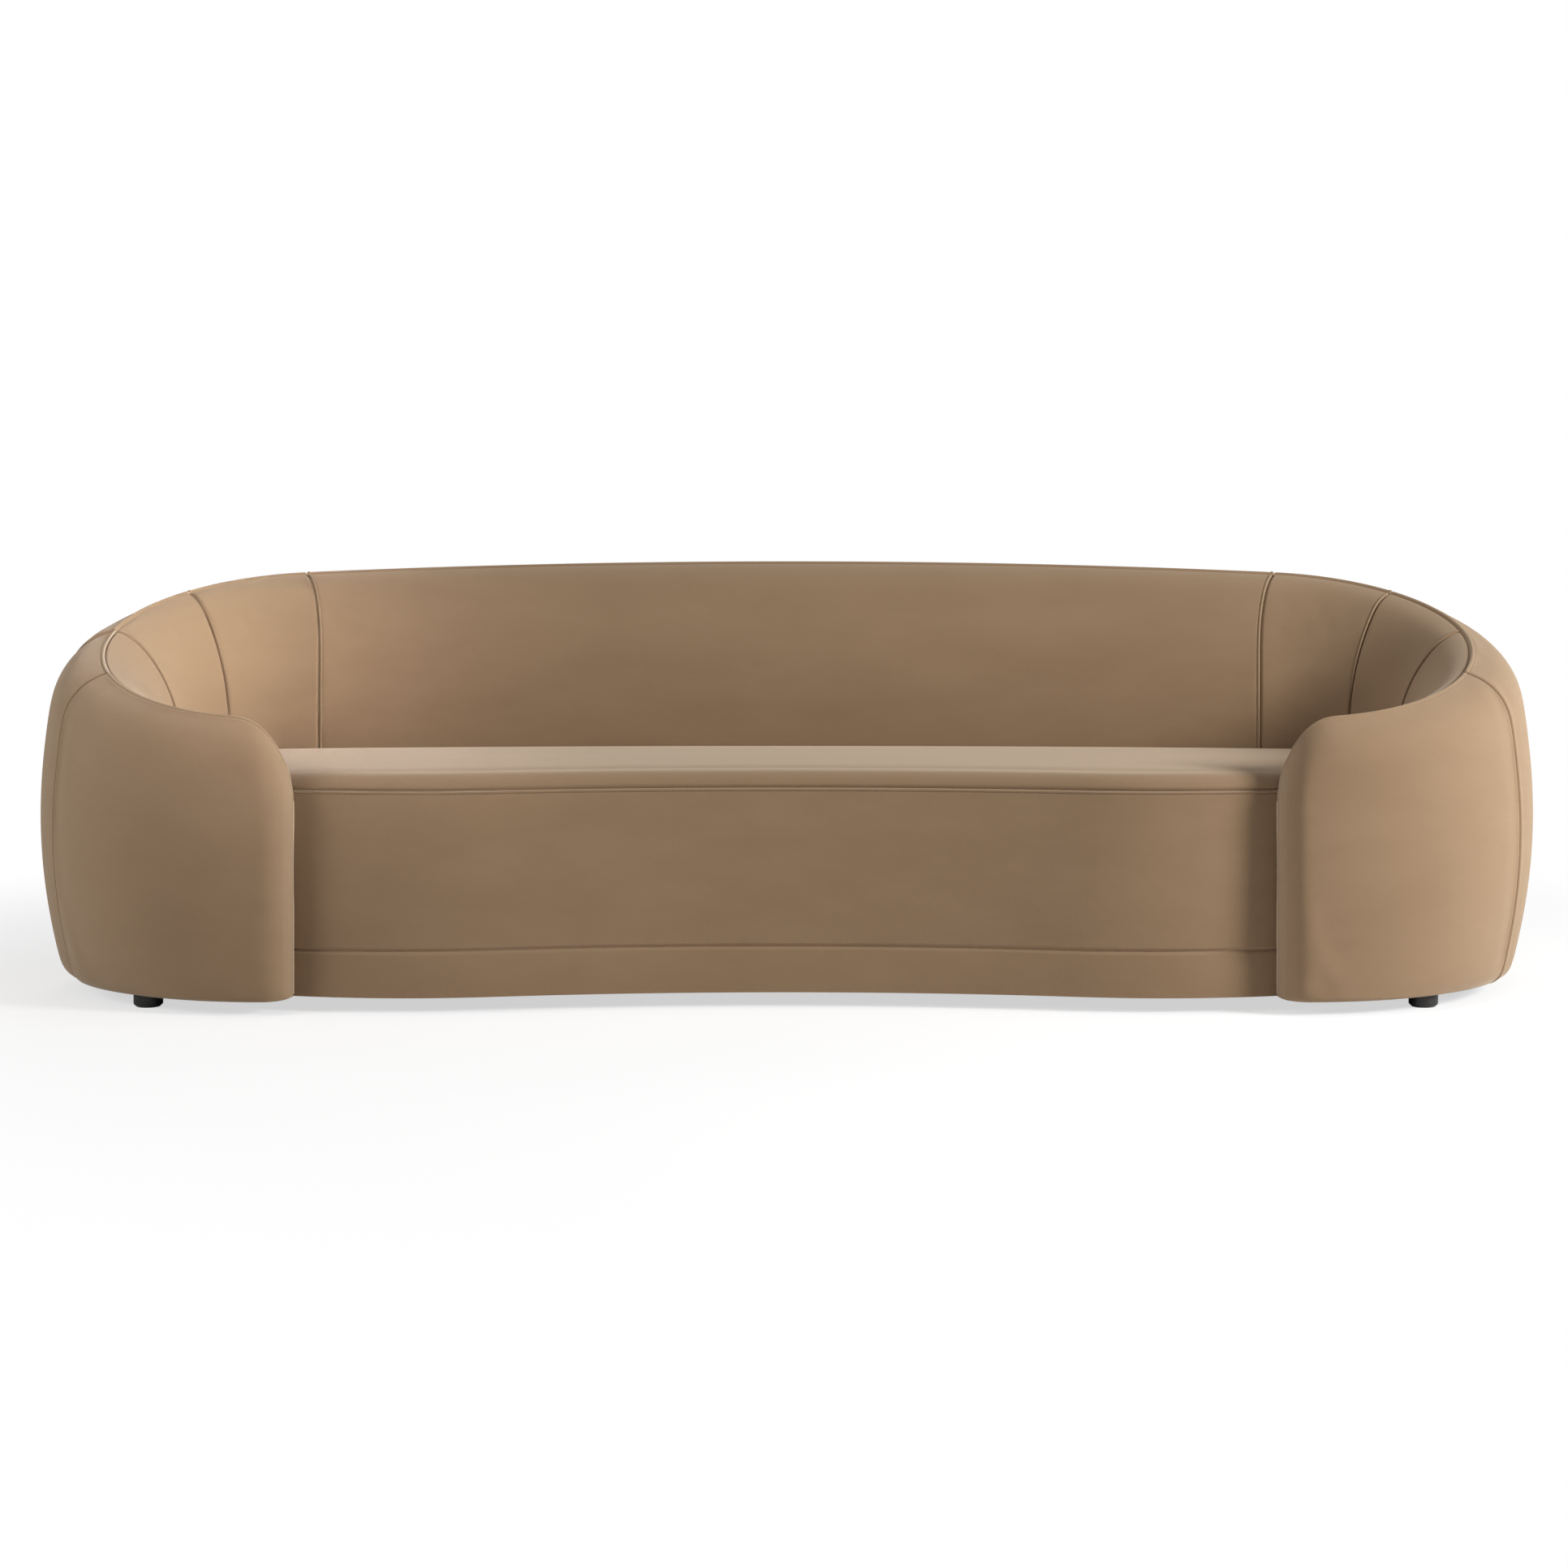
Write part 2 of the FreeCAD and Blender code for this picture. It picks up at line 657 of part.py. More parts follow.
tip_run = total_run - size.arm_nose_radius
dust_runs = sorted({0.0, back_run, tip_run, *(run_at(turn) for turn in range(24, 176, 16))})
hem = plan_chain(hem_line, dust_runs)
inner_gap = -(foam_depth + size.clearance)
slot = [inner_face(nose_start - size.dust_cover_inset, inner_gap), inner_face(tip_run, inner_gap)]
dust_front = front_chain(foam_depth + size.clearance)
right_path = [hem[-1], slot[1], slot[0], dust_front[0]]
left_path = [dust_front[-1], *mirrored([slot[0], slot[1], hem[-1]])]
dust_edges = chain_edges(mirrored(hem)[::-1] + hem[1:])
dust_edges += [Part.makeLine(a, b) for a, b in zip(right_path, right_path[1:])]
dust_edges += chain_edges(dust_front)
dust_edges += [Part.makeLine(a, b) for a, b in zip(left_path, left_path[1:])]
dust_face = Part.Face(Part.Wire(dust_edges))
bolt_hole = size.bolt_diameter / 2 + size.clearance
for place in foot_places.values():
    dust_face = dust_face.cut(Part.Face(Part.Wire(Part.makeCircle(bolt_hole, place))))
add_extruded("dust_cover", dust_face, size.underside_height, "Dimensions.dust_cover_thickness")

# Webbing across the seat, from the front rail to the deck rim
straps = []
web_radius = back_radius - size.crest_inset_back - size.lean_back
for index in range(int(size.webbing_count)):
    x = (index - (size.webbing_count - 1) / 2) * size.webbing_pitch
    edge_x = abs(x) + size.webbing_width / 2
    start_y = max(seat_front_y(edge_x), seat_front_y(abs(x) - size.webbing_width / 2)) + rail_depth
    end_y = back_centre_y + math.sqrt(web_radius ** 2 - edge_x ** 2) - size.deck_ledge / 4
    corner = Vector(x - size.webbing_width / 2, start_y, deck_top)
    straps.append(Part.makeBox(size.webbing_width, end_y - start_y, size.webbing_thickness, corner))
add_part("seat_webbing", Part.makeCompound(straps))

# Cross rails between the front rail and the back's base rail
cross_rails = []
rear_radius = back_radius - size.panel_thickness - size.rail_thickness - 2 * size.clearance
half_rail = size.rail_thickness / 2
for x in (-size.cross_rail_pitch, 0, size.cross_rail_pitch):
    start_y = max(seat_front_y(abs(x) - half_rail), seat_front_y(abs(x) + half_rail))
    start_y += rail_depth + size.rail_thickness + size.clearance
    end_y = back_centre_y + math.sqrt(rear_radius ** 2 - (abs(x) + half_rail) ** 2) - size.clearance
    corner = Vector(x - half_rail, start_y, size.deck_height - size.cross_rail_height)
    cross_rails.append(Part.makeBox(size.rail_thickness, end_y - start_y, size.cross_rail_height, corner))
add_part("cross_rails", Part.makeCompound(cross_rails))

# Foot plates in the base, with a hole for each foot's bolt
plates = []
plate_bottom = size.underside_height + size.dust_cover_thickness
plate_top = plate_bottom + size.foot_plate_thickness
for name, place in foot_places.items():
    turn = size.front_foot_turn if name.startswith("front") else size.rear_foot_turn
    side = 1 if name.endswith("right") else -1
    spread = (-size.foot_plate_turn, 0, size.foot_plate_turn)
    plate = loft([foot_plate_wire(side * run_at(turn + step)) for step in spread])
    drill = Part.makeCylinder(bolt_hole, size.foot_plate_thickness + 2, place + Vector(0, 0, plate_bottom - 1))
    plates.append(plate.cut(drill))
add_part("foot_plates", Part.makeCompound(plates))


def add_foot(name, place):
    """Round foot turned from one profile, bevelled at the floor and bored for its bolt."""
    body = doc.addObject("PartDesign::Body", name)
    body.Label = name
    sketch = body.newObject("Sketcher::SketchObject", f"{name}_profile")
    plane = next(item for item in body.Origin.OriginFeatures if item.Role == "XZ_Plane")
    sketch.AttachmentSupport = [(plane, "")]
    sketch.MapMode = "FlatFace"
    radius = size.foot_diameter / 2
    bore = bolt_hole
    bore_floor = size.underside_height - size.bolt_depth - size.clearance
    outline = [(0, 0), (radius - size.foot_bevel, 0), (radius, size.foot_bevel),
               (radius, size.underside_height), (bore, size.underside_height), (bore, bore_floor),
               (0, bore_floor)]
    for start, end in zip(outline, outline[1:] + outline[:1]):
        sketch.addGeometry(Part.LineSegment(Vector(*start, 0), Vector(*end, 0)), False)
    count = len(outline)
    for line in range(count):
        sketch.addConstraint(Sketcher.Constraint("Coincident", line, 2, (line + 1) % count, 1))
    sketch.addConstraint(Sketcher.Constraint("Coincident", 0, 1, -1, 1))
    for line in (0, 3, 5):
        sketch.addConstraint(Sketcher.Constraint("Horizontal", line))
    for line in (2, 4, 6):
        sketch.addConstraint(Sketcher.Constraint("Vertical", line))
    bound = [
        ("DistanceX", 0, 1, 0, 2, radius - size.foot_bevel, "foot_diameter / 2 - Dimensions.foot_bevel"),
        ("DistanceX", 1, 1, 1, 2, size.foot_bevel, "foot_bevel"),
        ("DistanceY", 1, 1, 1, 2, size.foot_bevel, "foot_bevel"),
        ("DistanceY", 0, 1, 2, 2, size.underside_height, "underside_height"),
        ("DistanceX", 5, 2, 5, 1, bore, "bolt_diameter / 2 + Dimensions.clearance"),
        ("DistanceY", 4, 2, 4, 1, size.bolt_depth + size.clearance,
         "bolt_depth + Dimensions.clearance"),
    ]
    for kind, first, first_end, second, second_end, value, rule in bound:
        index = sketch.addConstraint(
            Sketcher.Constraint(kind, first, first_end, second, second_end, value))
        sketch.setExpression(f"Constraints[{index}]", f"Dimensions.{rule}")
    turned = body.newObject("PartDesign::Revolution", f"{name}_turned")
    turned.Profile = sketch
    turned.ReferenceAxis = (sketch, ["V_Axis"])
    turned.Angle = 360
    body.Placement = FreeCAD.Placement(place, FreeCAD.Rotation())
    NODES.append(body)


for place_name, place in foot_places.items():
    add_foot(f"foot_{place_name}", place)

# Bolts that hold the feet to their plates
bolts = []
for place in foot_places.values():
    shank_bottom = size.underside_height - size.bolt_depth
    shank_length = plate_top - shank_bottom
    shank = Part.makeCylinder(size.bolt_diameter / 2, shank_length, place + Vector(0, 0, shank_bottom))
    head = Part.makeCylinder(size.bolt_head_diameter / 2, size.bolt_head_height, place + Vector(0, 0, plate_top))
    bolts.append(shank.fuse(head))
add_part("foot_bolts", Part.makeCompound(bolts))

# Recompute, check and write every sub-part
doc.recompute()
for item in doc.Objects:
    if "Invalid" in item.State or "Error" in item.State:
        raise RuntimeError(f"{item.Name} failed: {item.State}")
faulty = [node.Label for node in NODES
          if node.Shape.isNull() or not node.Shape.isValid() or not node.Shape.Solids]
if faulty:
    raise RuntimeError(f"no valid solid in {faulty}")
for node in NODES:
    node.Shape.exportStep(f"parts/{node.Label}.step")
box = Part.makeCompound([node.Shape for node in NODES]).BoundBox
print(f"{len(NODES)} nodes, {box.XLength:.1f} x {box.YLength:.1f} x {box.ZLength:.1f} mm")
print(f"x {box.XMin:.2f} {box.XMax:.2f} y {box.YMin:.2f} {box.YMax:.2f} z {box.ZMin:.2f}")
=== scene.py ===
import math

import bmesh
import bpy
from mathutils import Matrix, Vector
from mathutils.bvhtree import BVHTree
from mathutils.kdtree import KDTree


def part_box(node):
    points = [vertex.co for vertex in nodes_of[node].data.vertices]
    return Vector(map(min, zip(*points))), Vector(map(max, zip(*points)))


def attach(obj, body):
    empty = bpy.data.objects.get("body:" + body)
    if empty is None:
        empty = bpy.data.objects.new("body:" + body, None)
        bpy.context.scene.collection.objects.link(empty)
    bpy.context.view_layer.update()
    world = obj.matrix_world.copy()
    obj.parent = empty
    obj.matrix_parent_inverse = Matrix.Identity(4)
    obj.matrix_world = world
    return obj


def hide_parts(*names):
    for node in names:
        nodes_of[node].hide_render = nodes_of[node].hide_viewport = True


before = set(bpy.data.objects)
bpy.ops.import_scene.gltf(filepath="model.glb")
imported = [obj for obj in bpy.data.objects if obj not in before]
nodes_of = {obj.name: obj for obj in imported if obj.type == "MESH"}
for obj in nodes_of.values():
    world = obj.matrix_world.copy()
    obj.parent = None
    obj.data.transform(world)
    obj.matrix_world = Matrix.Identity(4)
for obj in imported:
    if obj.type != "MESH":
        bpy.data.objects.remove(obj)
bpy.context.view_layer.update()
bpy.ops.object.select_all(action="DESELECT")
ROOT = "root"

# Sizes of the upholstery in metres, the same as the frame's own
# The shell follows one plan curve: a shallow arc behind the seat, a tight arc round each corner and a
# short straight run to the arm's end. Inset and belly are measured square to that curve.
CORNER_X = 0.925
CORNER_RADIUS = 0.433
BACK_BOW = 0.062
ARM_END_X = 0.885
UNDERSIDE = 0.028
SEAT_HEIGHT = 0.432
BACK_HEIGHT = 0.786
ARM_HEIGHT = 0.528
BELLY_BACK = 0.050
BELLY_ARM = 0.015
CREST_INSET_BACK = 0.063
CREST_INSET_ARM = 0.042
LEAN_BACK = 0.145
LEAN_SIDE = 0.128
LEAN_ARM = 0.024
SHOULDER_DROP = 0.108
SHOULDER_OUT = 0.033
HEM_HEIGHT = 0.027
HEM_IN = 0.037
HEM_INSET_BACK = 0.022
HEM_INSET_ARM = 0.008
ARM_CORNER_RUN = 0.105
ARM_CORNER_DROP = 0.150
NOSE_RADIUS = 0.040
ARM_TIP = 0.004
TUCK = 0.395
SEAT_GAP = 0.0015
SEAT_FRONT_MID = 0.107
SEAT_NOSE_Y = 0.036
SEAT_NOSE_X = 0.678
SEAT_NOSE_RADIUS = 0.700
SEAT_EDGE_RADIUS = 0.034
SEAT_CROWN = 0.007
SEAT_SEAM = 0.398
PLINTH_SEAM = 0.111
SEAM_TWO_TURN = 46
SEAM_THREE_TURN = 83
ARM_SEAM_TURN = 118

# Outline of the wall. The arm's own shape comes in from this share of the turn on. The inside face has
# three points, each a share of the lean inwards and a share of the height down from the crest.
ARM_SHAPE_FROM = 0.55
ARM_SHAPE_OVER = 0.45
INSIDE_SHARES = ((0.814, 0.44), (0.414, 0.127), (0.241, 0.045))
RIM_OUT_SHARE = 0.723
RIM_DROP_SHARE = 0.324
ARM_CORNER_POWER = 2.2
NOSE_SQUEEZE = 0.03
LEAST_RISE = 0.020
LEAST_TUCK = 0.010
BELLY_LIFT = 0.005
HEM_KEPT_SHARE = 0.6
HEM_BACK_SHARE = 0.18
HEM_TURN_HEIGHT = 0.008
ARC_POINTS = 20
EASING_ROUNDS = 12

# How the velvet is pulled in at its seams, and the thread of its topstitching
GROOVE_DEPTH = 0.0055
GROOVE_REACH = 0.0075
FOLD_WIDTH = 0.0060
FOLD_HEIGHT = 0.0017
STITCH_DIP = 0.0009
STITCH_DIP_WIDTH = 0.0013
GROOVE_POWER = 1.5
FOLD_GROOVE_SHARE = 0.4
NEAR_SEAM_SHARE = 0.4
NEAR_SEAM = (0.0, 0.0008, 0.0017, 0.0028, 0.0040, 0.0051, FOLD_WIDTH, 0.0069, 0.0086, 0.0120)
STITCH_ROW = NEAR_SEAM.index(FOLD_WIDTH)
STITCH_PITCH = 0.0052
STITCH_LENGTH = 0.0030
STITCH_WIDTH = 0.0017
PUFF = 0.0055
OUTSIDE_PUFF = 0.0045
SEAT_PUFF = 0.004
FRONT_PUFF = 0.003
OUTSIDE_PADDING = 0.0035
PADDING_REACH = 0.05
CLOTH_FRAMES = 20
PANEL_PITCH = 0.018
FRONT_PITCH = 0.014
SEAM_ONE_LEAN = 0.027
LEAN_SHARE = 0.5
LEAN_POWER = 2.5
PANEL_THICKNESS = 0.003
WELT_RADIUS = 0.0016
WELT_STAND = 0.0024
WELT_PITCH = 0.008
WELT_SINK = 0.0006
WELT_CLIMB_POINTS = 40
WELT_FOOT = 0.002

back_turn = 2 * math.atan(BACK_BOW / CORNER_X)
back_radius = CORNER_RADIUS + CORNER_X / math.sin(back_turn)
shell_depth = 2 * CORNER_RADIUS + BACK_BOW + BELLY_BACK + BELLY_ARM
front_y = -shell_depth / 2 + BELLY_ARM
corner_y = front_y + CORNER_RADIUS
back_centre_y = corner_y + (CORNER_RADIUS - back_radius) * math.cos(back_turn)
back_run = back_radius * back_turn
corner_run = CORNER_RADIUS * (math.pi - back_turn)
total_run = back_run + corner_run + CORNER_X - ARM_END_X
crest_back_y = back_centre_y + back_radius - CREST_INSET_BACK
crest_arm_y = front_y + CREST_INSET_ARM


def smooth(value):
    share = min(max(value, 0.0), 1.0)
    return share * share * (3 - 2 * share)


def run_at(turn_degrees):
    """Distance along the plan curve, from the middle of the back, where it has turned this much."""
    return back_run + CORNER_RADIUS * (math.radians(turn_degrees) - back_turn)


def plan_point(run):
    """Point of the plan curve and its turn in radians. Left of the middle the run is below zero."""
    if run < 0:
        point, turn = plan_point(-run)
        return Vector((-point.x, point.y, 0)), -turn
    if run <= back_run:
        turn = run / back_radius
        centre = Vector((0, back_centre_y, 0))
        radius = back_radius
    elif run <= back_run + corner_run:
        turn = back_turn + (run - back_run) / CORNER_RADIUS
        centre = Vector((CORNER_X, corner_y, 0))
        radius = CORNER_RADIUS
    else:
        past = run - back_run - corner_run
        return Vector((CORNER_X - past, front_y, 0)), math.pi
    return centre + Vector((math.sin(turn), math.cos(turn), 0)) * radius, turn


def wall_chain(run, low):
    """Corners and arc middles of the wall's outline: up the inside face, over the crest and down."""
    run = abs(run)
    point, turn = plan_point(run)
    arm_share = smooth((turn / math.pi - ARM_SHAPE_FROM) / ARM_SHAPE_OVER)
    belly = BELLY_BACK + (BELLY_ARM - BELLY_BACK) * arm_share
    inset = CREST_INSET_BACK + (CREST_INSET_ARM - CREST_INSET_BACK) * arm_share
    hem = HEM_INSET_BACK + (HEM_INSET_ARM - HEM_INSET_BACK) * arm_share
    if turn < math.pi / 2:
        lean = LEAN_BACK + (LEAN_SIDE - LEAN_BACK) * smooth(turn / (math.pi / 2))
    else:
        lean = LEAN_SIDE + (LEAN_ARM - LEAN_SIDE) * math.sin((turn - math.pi / 2) / 2) ** 2 * 2
    crest_y = point.y - inset * math.cos(turn)
    rise = (crest_y - crest_arm_y) / (crest_back_y - crest_arm_y)
    crest = ARM_HEIGHT + (BACK_HEIGHT - ARM_HEIGHT) * rise
    left = max(total_run - run, 0.0)
    if left < ARM_CORNER_RUN:
        along = 1 - left / ARM_CORNER_RUN
        crest -= ARM_CORNER_DROP * (1 - math.sqrt(max(0.0, 1 - along ** ARM_CORNER_POWER)))
    squeeze = 1.0
    if left < NOSE_RADIUS:
        along = 1 - left / NOSE_RADIUS
        squeeze = NOSE_SQUEEZE + (1 - NOSE_SQUEEZE) * math.sqrt(max(0.0, 1 - along * along))
    fullness = belly / BELLY_BACK
    inner = -(inset + lean)
    seat_level = min(SEAT_HEIGHT, crest - LEAST_RISE)
    low = min(low, seat_level - LEAST_TUCK)
    height = max(crest - SEAT_HEIGHT, LEAST_RISE)
    shoulder = min(SHOULDER_DROP, (crest - UNDERSIDE) / 2)
    hem_z = UNDERSIDE + HEM_HEIGHT
    reach = SHOULDER_OUT * fullness + inset
    hem_n = belly - HEM_IN * fullness
    chain = [
        (inner, low),
        (inner, (low + seat_level) / 2),
        (inner, seat_level),
        *((-(inset + out * lean), crest - drop * height) for out, drop in INSIDE_SHARES),
        (-inset, crest),
        (-inset + RIM_OUT_SHARE * reach, crest - RIM_DROP_SHARE * shoulder),
        (SHOULDER_OUT * fullness, crest - shoulder),
        (belly, (hem_z + crest - shoulder) / 2 + BELLY_LIFT),
        (hem_n, hem_z),
        (hem_n * HEM_KEPT_SHARE - hem * HEM_BACK_SHARE, UNDERSIDE + HEM_TURN_HEIGHT),
        (-hem, UNDERSIDE),
    ]
    return [Vector((inner + (n - inner) * squeeze, z)) for n, z in chain]


def arc_points(a, b, c, count):
    """Points on the circle through three points of a section, the last one left out."""
    cross = (b - a).cross(c - a)
    if abs(cross) < 1e-6 * (c - a).length_squared:
        return [a.lerp(c, i / count) for i in range(count)]
    p, q = b - a, c - a
    x = (q.y * p.length_squared - p.y * q.length_squared) / (2 * cross)
    y = (p.x * q.length_squared - q.x * p.length_squared) / (2 * cross)
    centre = a + Vector((x, y))
    spoke = a - centre
    sweep = spoke.angle_signed(c - centre)
    if (sweep > 0) != (spoke.angle_signed(b - centre) > 0):
        sweep -= math.copysign(2 * math.pi, sweep)
    points = []
    for i in range(count):
        turn = -sweep * i / count
        cos, sin = math.cos(turn), math.sin(turn)
        points.append(centre + Vector((spoke.x * cos - spoke.y * sin, spoke.x * sin + spoke.y * cos)))
    return points


def profile_line(run, first, last, low):
    """Fine line of one station's outline between two of its corners, with its kinks eased."""
    chain = wall_chain(run, low)
    points = []
    for k in range(first, last, 2):
        points += arc_points(chain[k], chain[k + 1], chain[k + 2], ARC_POINTS)
    points.append(chain[last])
    for _ in range(EASING_ROUNDS):
        eased = [(a + b * 2 + c) / 4 for a, b, c in zip(points, points[1:], points[2:])]
        points = [points[0], *eased, points[-1]]
    return points


def line_length(points):
    return sum((b - a).length for a, b in zip(points, points[1:]))


def spread(points, shares):
    """Points at given shares of a line's length."""
    lengths = [0.0]
    for a, b in zip(points, points[1:]):
        lengths.append(lengths[-1] + (b - a).length)
    placed = []
    index = 0
    for share in shares:
        target = share * lengths[-1]
        while index < len(points) - 2 and lengths[index + 1] < target:
            index += 1
        step = max(lengths[index + 1] - lengths[index], 1e-9)
        placed.append(points[index].lerp(points[index + 1], (target - lengths[index]) / step))
    return placed


def grid_marks(length, count):
    """Distances across a panel: narrow rows beside both seams and even ones between."""
    tightness = min(1.0, NEAR_SEAM_SHARE * length / NEAR_SEAM[-1])
    near = [mark * tightness for mark in NEAR_SEAM]
    inner = length - 2 * near[-1]
    between = [near[-1] + inner * i / count for i in range(1, count)]
    return near + between + [length - mark for mark in reversed(near)]


def seam_lift(distance, edge):
    """Lift of the velvet beside a seam: a groove, and on a folded edge a ridge with a stitched dip."""
    if edge == "free":
        return 0.0
    if edge == "plain":
        return -GROOVE_DEPTH * (1 - smooth(distance / GROOVE_REACH)) ** GROOVE_POWER
    groove = -GROOVE_DEPTH * (1 - smooth(distance / (FOLD_GROOVE_SHARE * FOLD_WIDTH)))
    ridge = FOLD_HEIGHT * math.sin(math.pi * min(distance / FOLD_WIDTH, 1.0))
    dip = -STITCH_DIP * math.exp(-((distance - FOLD_WIDTH) / STITCH_DIP_WIDTH) ** 2)
    return groove + ridge + dip


def mesh_object(name, verts, faces):
    mesh = bpy.data.meshes.new(name)
    mesh.from_pydata([tuple(p) for p in verts], [], faces)
    obj = bpy.data.objects.new(name, mesh)
    bpy.context.collection.objects.link(obj)
    return obj


def grid_object(name, grid):
    """Mesh object of quads through a grid of points, column after column."""
    rows = len(grid[0])
    faces = []
    for i in range(len(grid) - 1):
        for k in range(rows - 1):
            a = i * rows + k
            faces.append((a, a + rows, a + rows + 1, a + 1))
    return mesh_object(name, [p for column in grid for p in column], faces)


def select_only(obj):
    bpy.ops.object.select_all(action="DESELECT")
    obj.select_set(True)
    bpy.context.view_layer.objects.active = obj


def apply_modifier(obj, modifier):
    select_only(obj)
    bpy.ops.object.modifier_apply(modifier=modifier.name)


def swell(obj, held, most):
    """Cloth simulation that swells a sheet between its held seams, eased off towards a limit."""
    drawn = [(vertex.co.copy(), vertex.normal.copy()) for vertex in obj.data.vertices]
    seams = obj.vertex_groups.new(name="seams")
    seams.add(held, 1.0, "REPLACE")
    cloth = obj.modifiers.new("cloth", "CLOTH")
    cloth.settings.quality = 4
    cloth.settings.mass = 0.3
    cloth.settings.tension_stiffness = 25
    cloth.settings.compression_stiffness = 15
    cloth.settings.bending_stiffness = 1.5
    cloth.settings.use_pressure = True
    cloth.settings.uniform_pressure_force = 4
    cloth.settings.effector_weights.gravity = 0
    cloth.settings.vertex_group_mass = "seams"
    cloth.collision_settings.use_collision = False
    cloth.point_cache.frame_start = 1
    cloth.point_cache.frame_end = CLOTH_FRAMES
    for frame_number in range(1, CLOTH_FRAMES + 1):
        bpy.context.scene.frame_set(frame_number)
    apply_modifier(obj, cloth)
    bpy.context.scene.frame_set(1)
    for vertex, (start, normal) in zip(obj.data.vertices, drawn):
        rise = max((vertex.co - start).dot(normal), 0.0)
        vertex.co = start + normal * most * math.tanh(rise / most)
    obj.vertex_groups.clear()


def finish_panel(obj, rows, outward, most):
    """Turn a panel's faces outwards, swell it, round it off with one subdivision and thicken it."""
    mesh = obj.data
    if mesh.polygons[len(mesh.polygons) // 2].normal.dot(outward) < 0:
        mesh.flip_normals()
    columns = len(mesh.vertices) // rows
    edge = len(NEAR_SEAM) - 1
    held = [i * rows + k for i in range(columns) for k in range(rows)
            if min(i, columns - 1 - i, k, rows - 1 - k) < edge]
    swell(obj, held, most)
    smoother = obj.modifiers.new("smoother", "SUBSURF")
    smoother.levels = 1
    smoother.render_levels = 1
    smoother.boundary_smooth = "PRESERVE_CORNERS"
    apply_modifier(obj, smoother)
    solidify = obj.modifiers.new("thickness", "SOLIDIFY")
    solidify.thickness = PANEL_THICKNESS
    solidify.offset = -1
    apply_modifier(obj, solidify)
    bpy.ops.object.shade_smooth_by_angle(angle=math.radians(50))


stitch_lines = []


def note_stitches(obj, grid, edges):
    """Keep the lines of topstitching that a panel's folded edges carry."""
    low, high, start, end = edges
    lines = []
    if start == "folded":
        lines.append(grid[STITCH_ROW])
    if end == "folded":
        lines.append(grid[-1 - STITCH_ROW])
    if low == "folded":
        lines.append([column[STITCH_ROW] for column in grid])
    if high == "folded":
        lines.append([column[-1 - STITCH_ROW] for column in grid])
    for line in lines:
        stitch_lines.append((obj, line))


line_cache = {}
LINE_STEP = 0.004
LINE_SHARES = [i / 160 for i in range(161)]
DROP_BEFORE = 0.055
DROP_OVER = 0.045
HEM_CLEARANCE = 0.002


def outline_at(step, first, last):
    """Cached outline of one station between two corners, as even points, and its length."""
    key = (step, first, last)
    if key not in line_cache:
        run = min(step * LINE_STEP, total_run)
        line = profile_line(run, first, last, low_end(run))
        line_cache[key] = (spread(line, LINE_SHARES), line_length(line))
    return line_cache[key]


def low_end(run):
    """Lower end of the inside velvet: tucked under the seat, and down to the base past its front."""
    share = smooth((abs(run) - (total_run - ARM_CORNER_RUN - DROP_BEFORE)) / DROP_OVER)
    return TUCK + (UNDERSIDE + HEM_CLEARANCE - TUCK) * share


def wall_point(run, first, last, place, lift):
    """Point on the shell at a place along its outline, from 0 to 1, lifted off it."""
    steps = min(abs(run), total_run) / LINE_STEP
    before = int(steps)
    lower, _ = outline_at(before, first, last)
    upper, _ = outline_at(before + 1, first, last)
    along = place * (len(LINE_SHARES) - 1)
    index = min(int(along), len(LINE_SHARES) - 2)
    start = lower[index].lerp(upper[index], steps - before)
    end = lower[index + 1].lerp(upper[index + 1], steps - before)
    flat = start.lerp(end, along - index)
    tangent = (end - start).normalized()
    flat += Vector((-tangent.y, tangent.x)) * lift
    origin, turn = plan_point(run)
    return origin + Vector((math.sin(turn), math.cos(turn), 0)) * flat.x + Vector((0, 0, flat.y))


def outline_length(run, first, last):
    return outline_at(int(min(abs(run), total_run) / LINE_STEP), first, last)[1]


def leaned(run, side, place):
    """Run of a seam at a place up the inside: the first seam leans towards the middle."""
    if side != INSIDE or abs(abs(run) - back_run) > 1e-6:
        return run
    lean = SEAM_ONE_LEAN * (1 - max(0.0, 1 - (1 - place) / LEAN_SHARE) ** LEAN_POWER)
    return run - math.copysign(lean, run)


def wall_panel(name, start, end, side, edges):
    """Panel of velvet on the shell between two seams, with its folded edges kept for stitching."""
    first, last = side
    low_edge, high_edge, start_edge, end_edge = edges
    across = max(3, round(abs(end - start) / PANEL_PITCH))
    up = max(3, round(outline_length((start + end) / 2, first, last) / PANEL_PITCH))
    columns = len(grid_marks(abs(end - start), across))
    grid = []
    for i in range(columns):
        middle_run = start + (end - start) * i / (columns - 1)
        length = outline_length(middle_run, first, last)
        marks = grid_marks(length, up)
        column = []
        for mark in marks:
            place = mark / length
            begin = leaned(start, side, place)
            finish = leaned(end, side, place)
            width = abs(finish - begin)
            distance = grid_marks(width, across)[i]
            run = begin + (finish - begin) * distance / width
            lift = seam_lift(mark, low_edge) + seam_lift(length - mark, high_edge)
            lift += seam_lift(distance, start_edge) + seam_lift(width - distance, end_edge)
            lift = max(lift, -GROOVE_DEPTH)
            if side == OUTSIDE:
                nearest = min(mark, length - mark, distance, width - distance)
                lift += OUTSIDE_PADDING * smooth(nearest / PADDING_REACH)
            column.append(wall_point(run, first, last, place, lift))
        grid.append(column)
    obj = grid_object(name, grid)
    origin, turn = plan_point((start + end) / 2)
    facing = Vector((math.sin(turn), math.cos(turn), 0))
    outward = -facing if side == INSIDE else facing
    finish_panel(obj, len(grid[0]), outward, PUFF if side == INSIDE else OUTSIDE_PUFF)
    note_stitches(obj, grid, edges)
    return obj


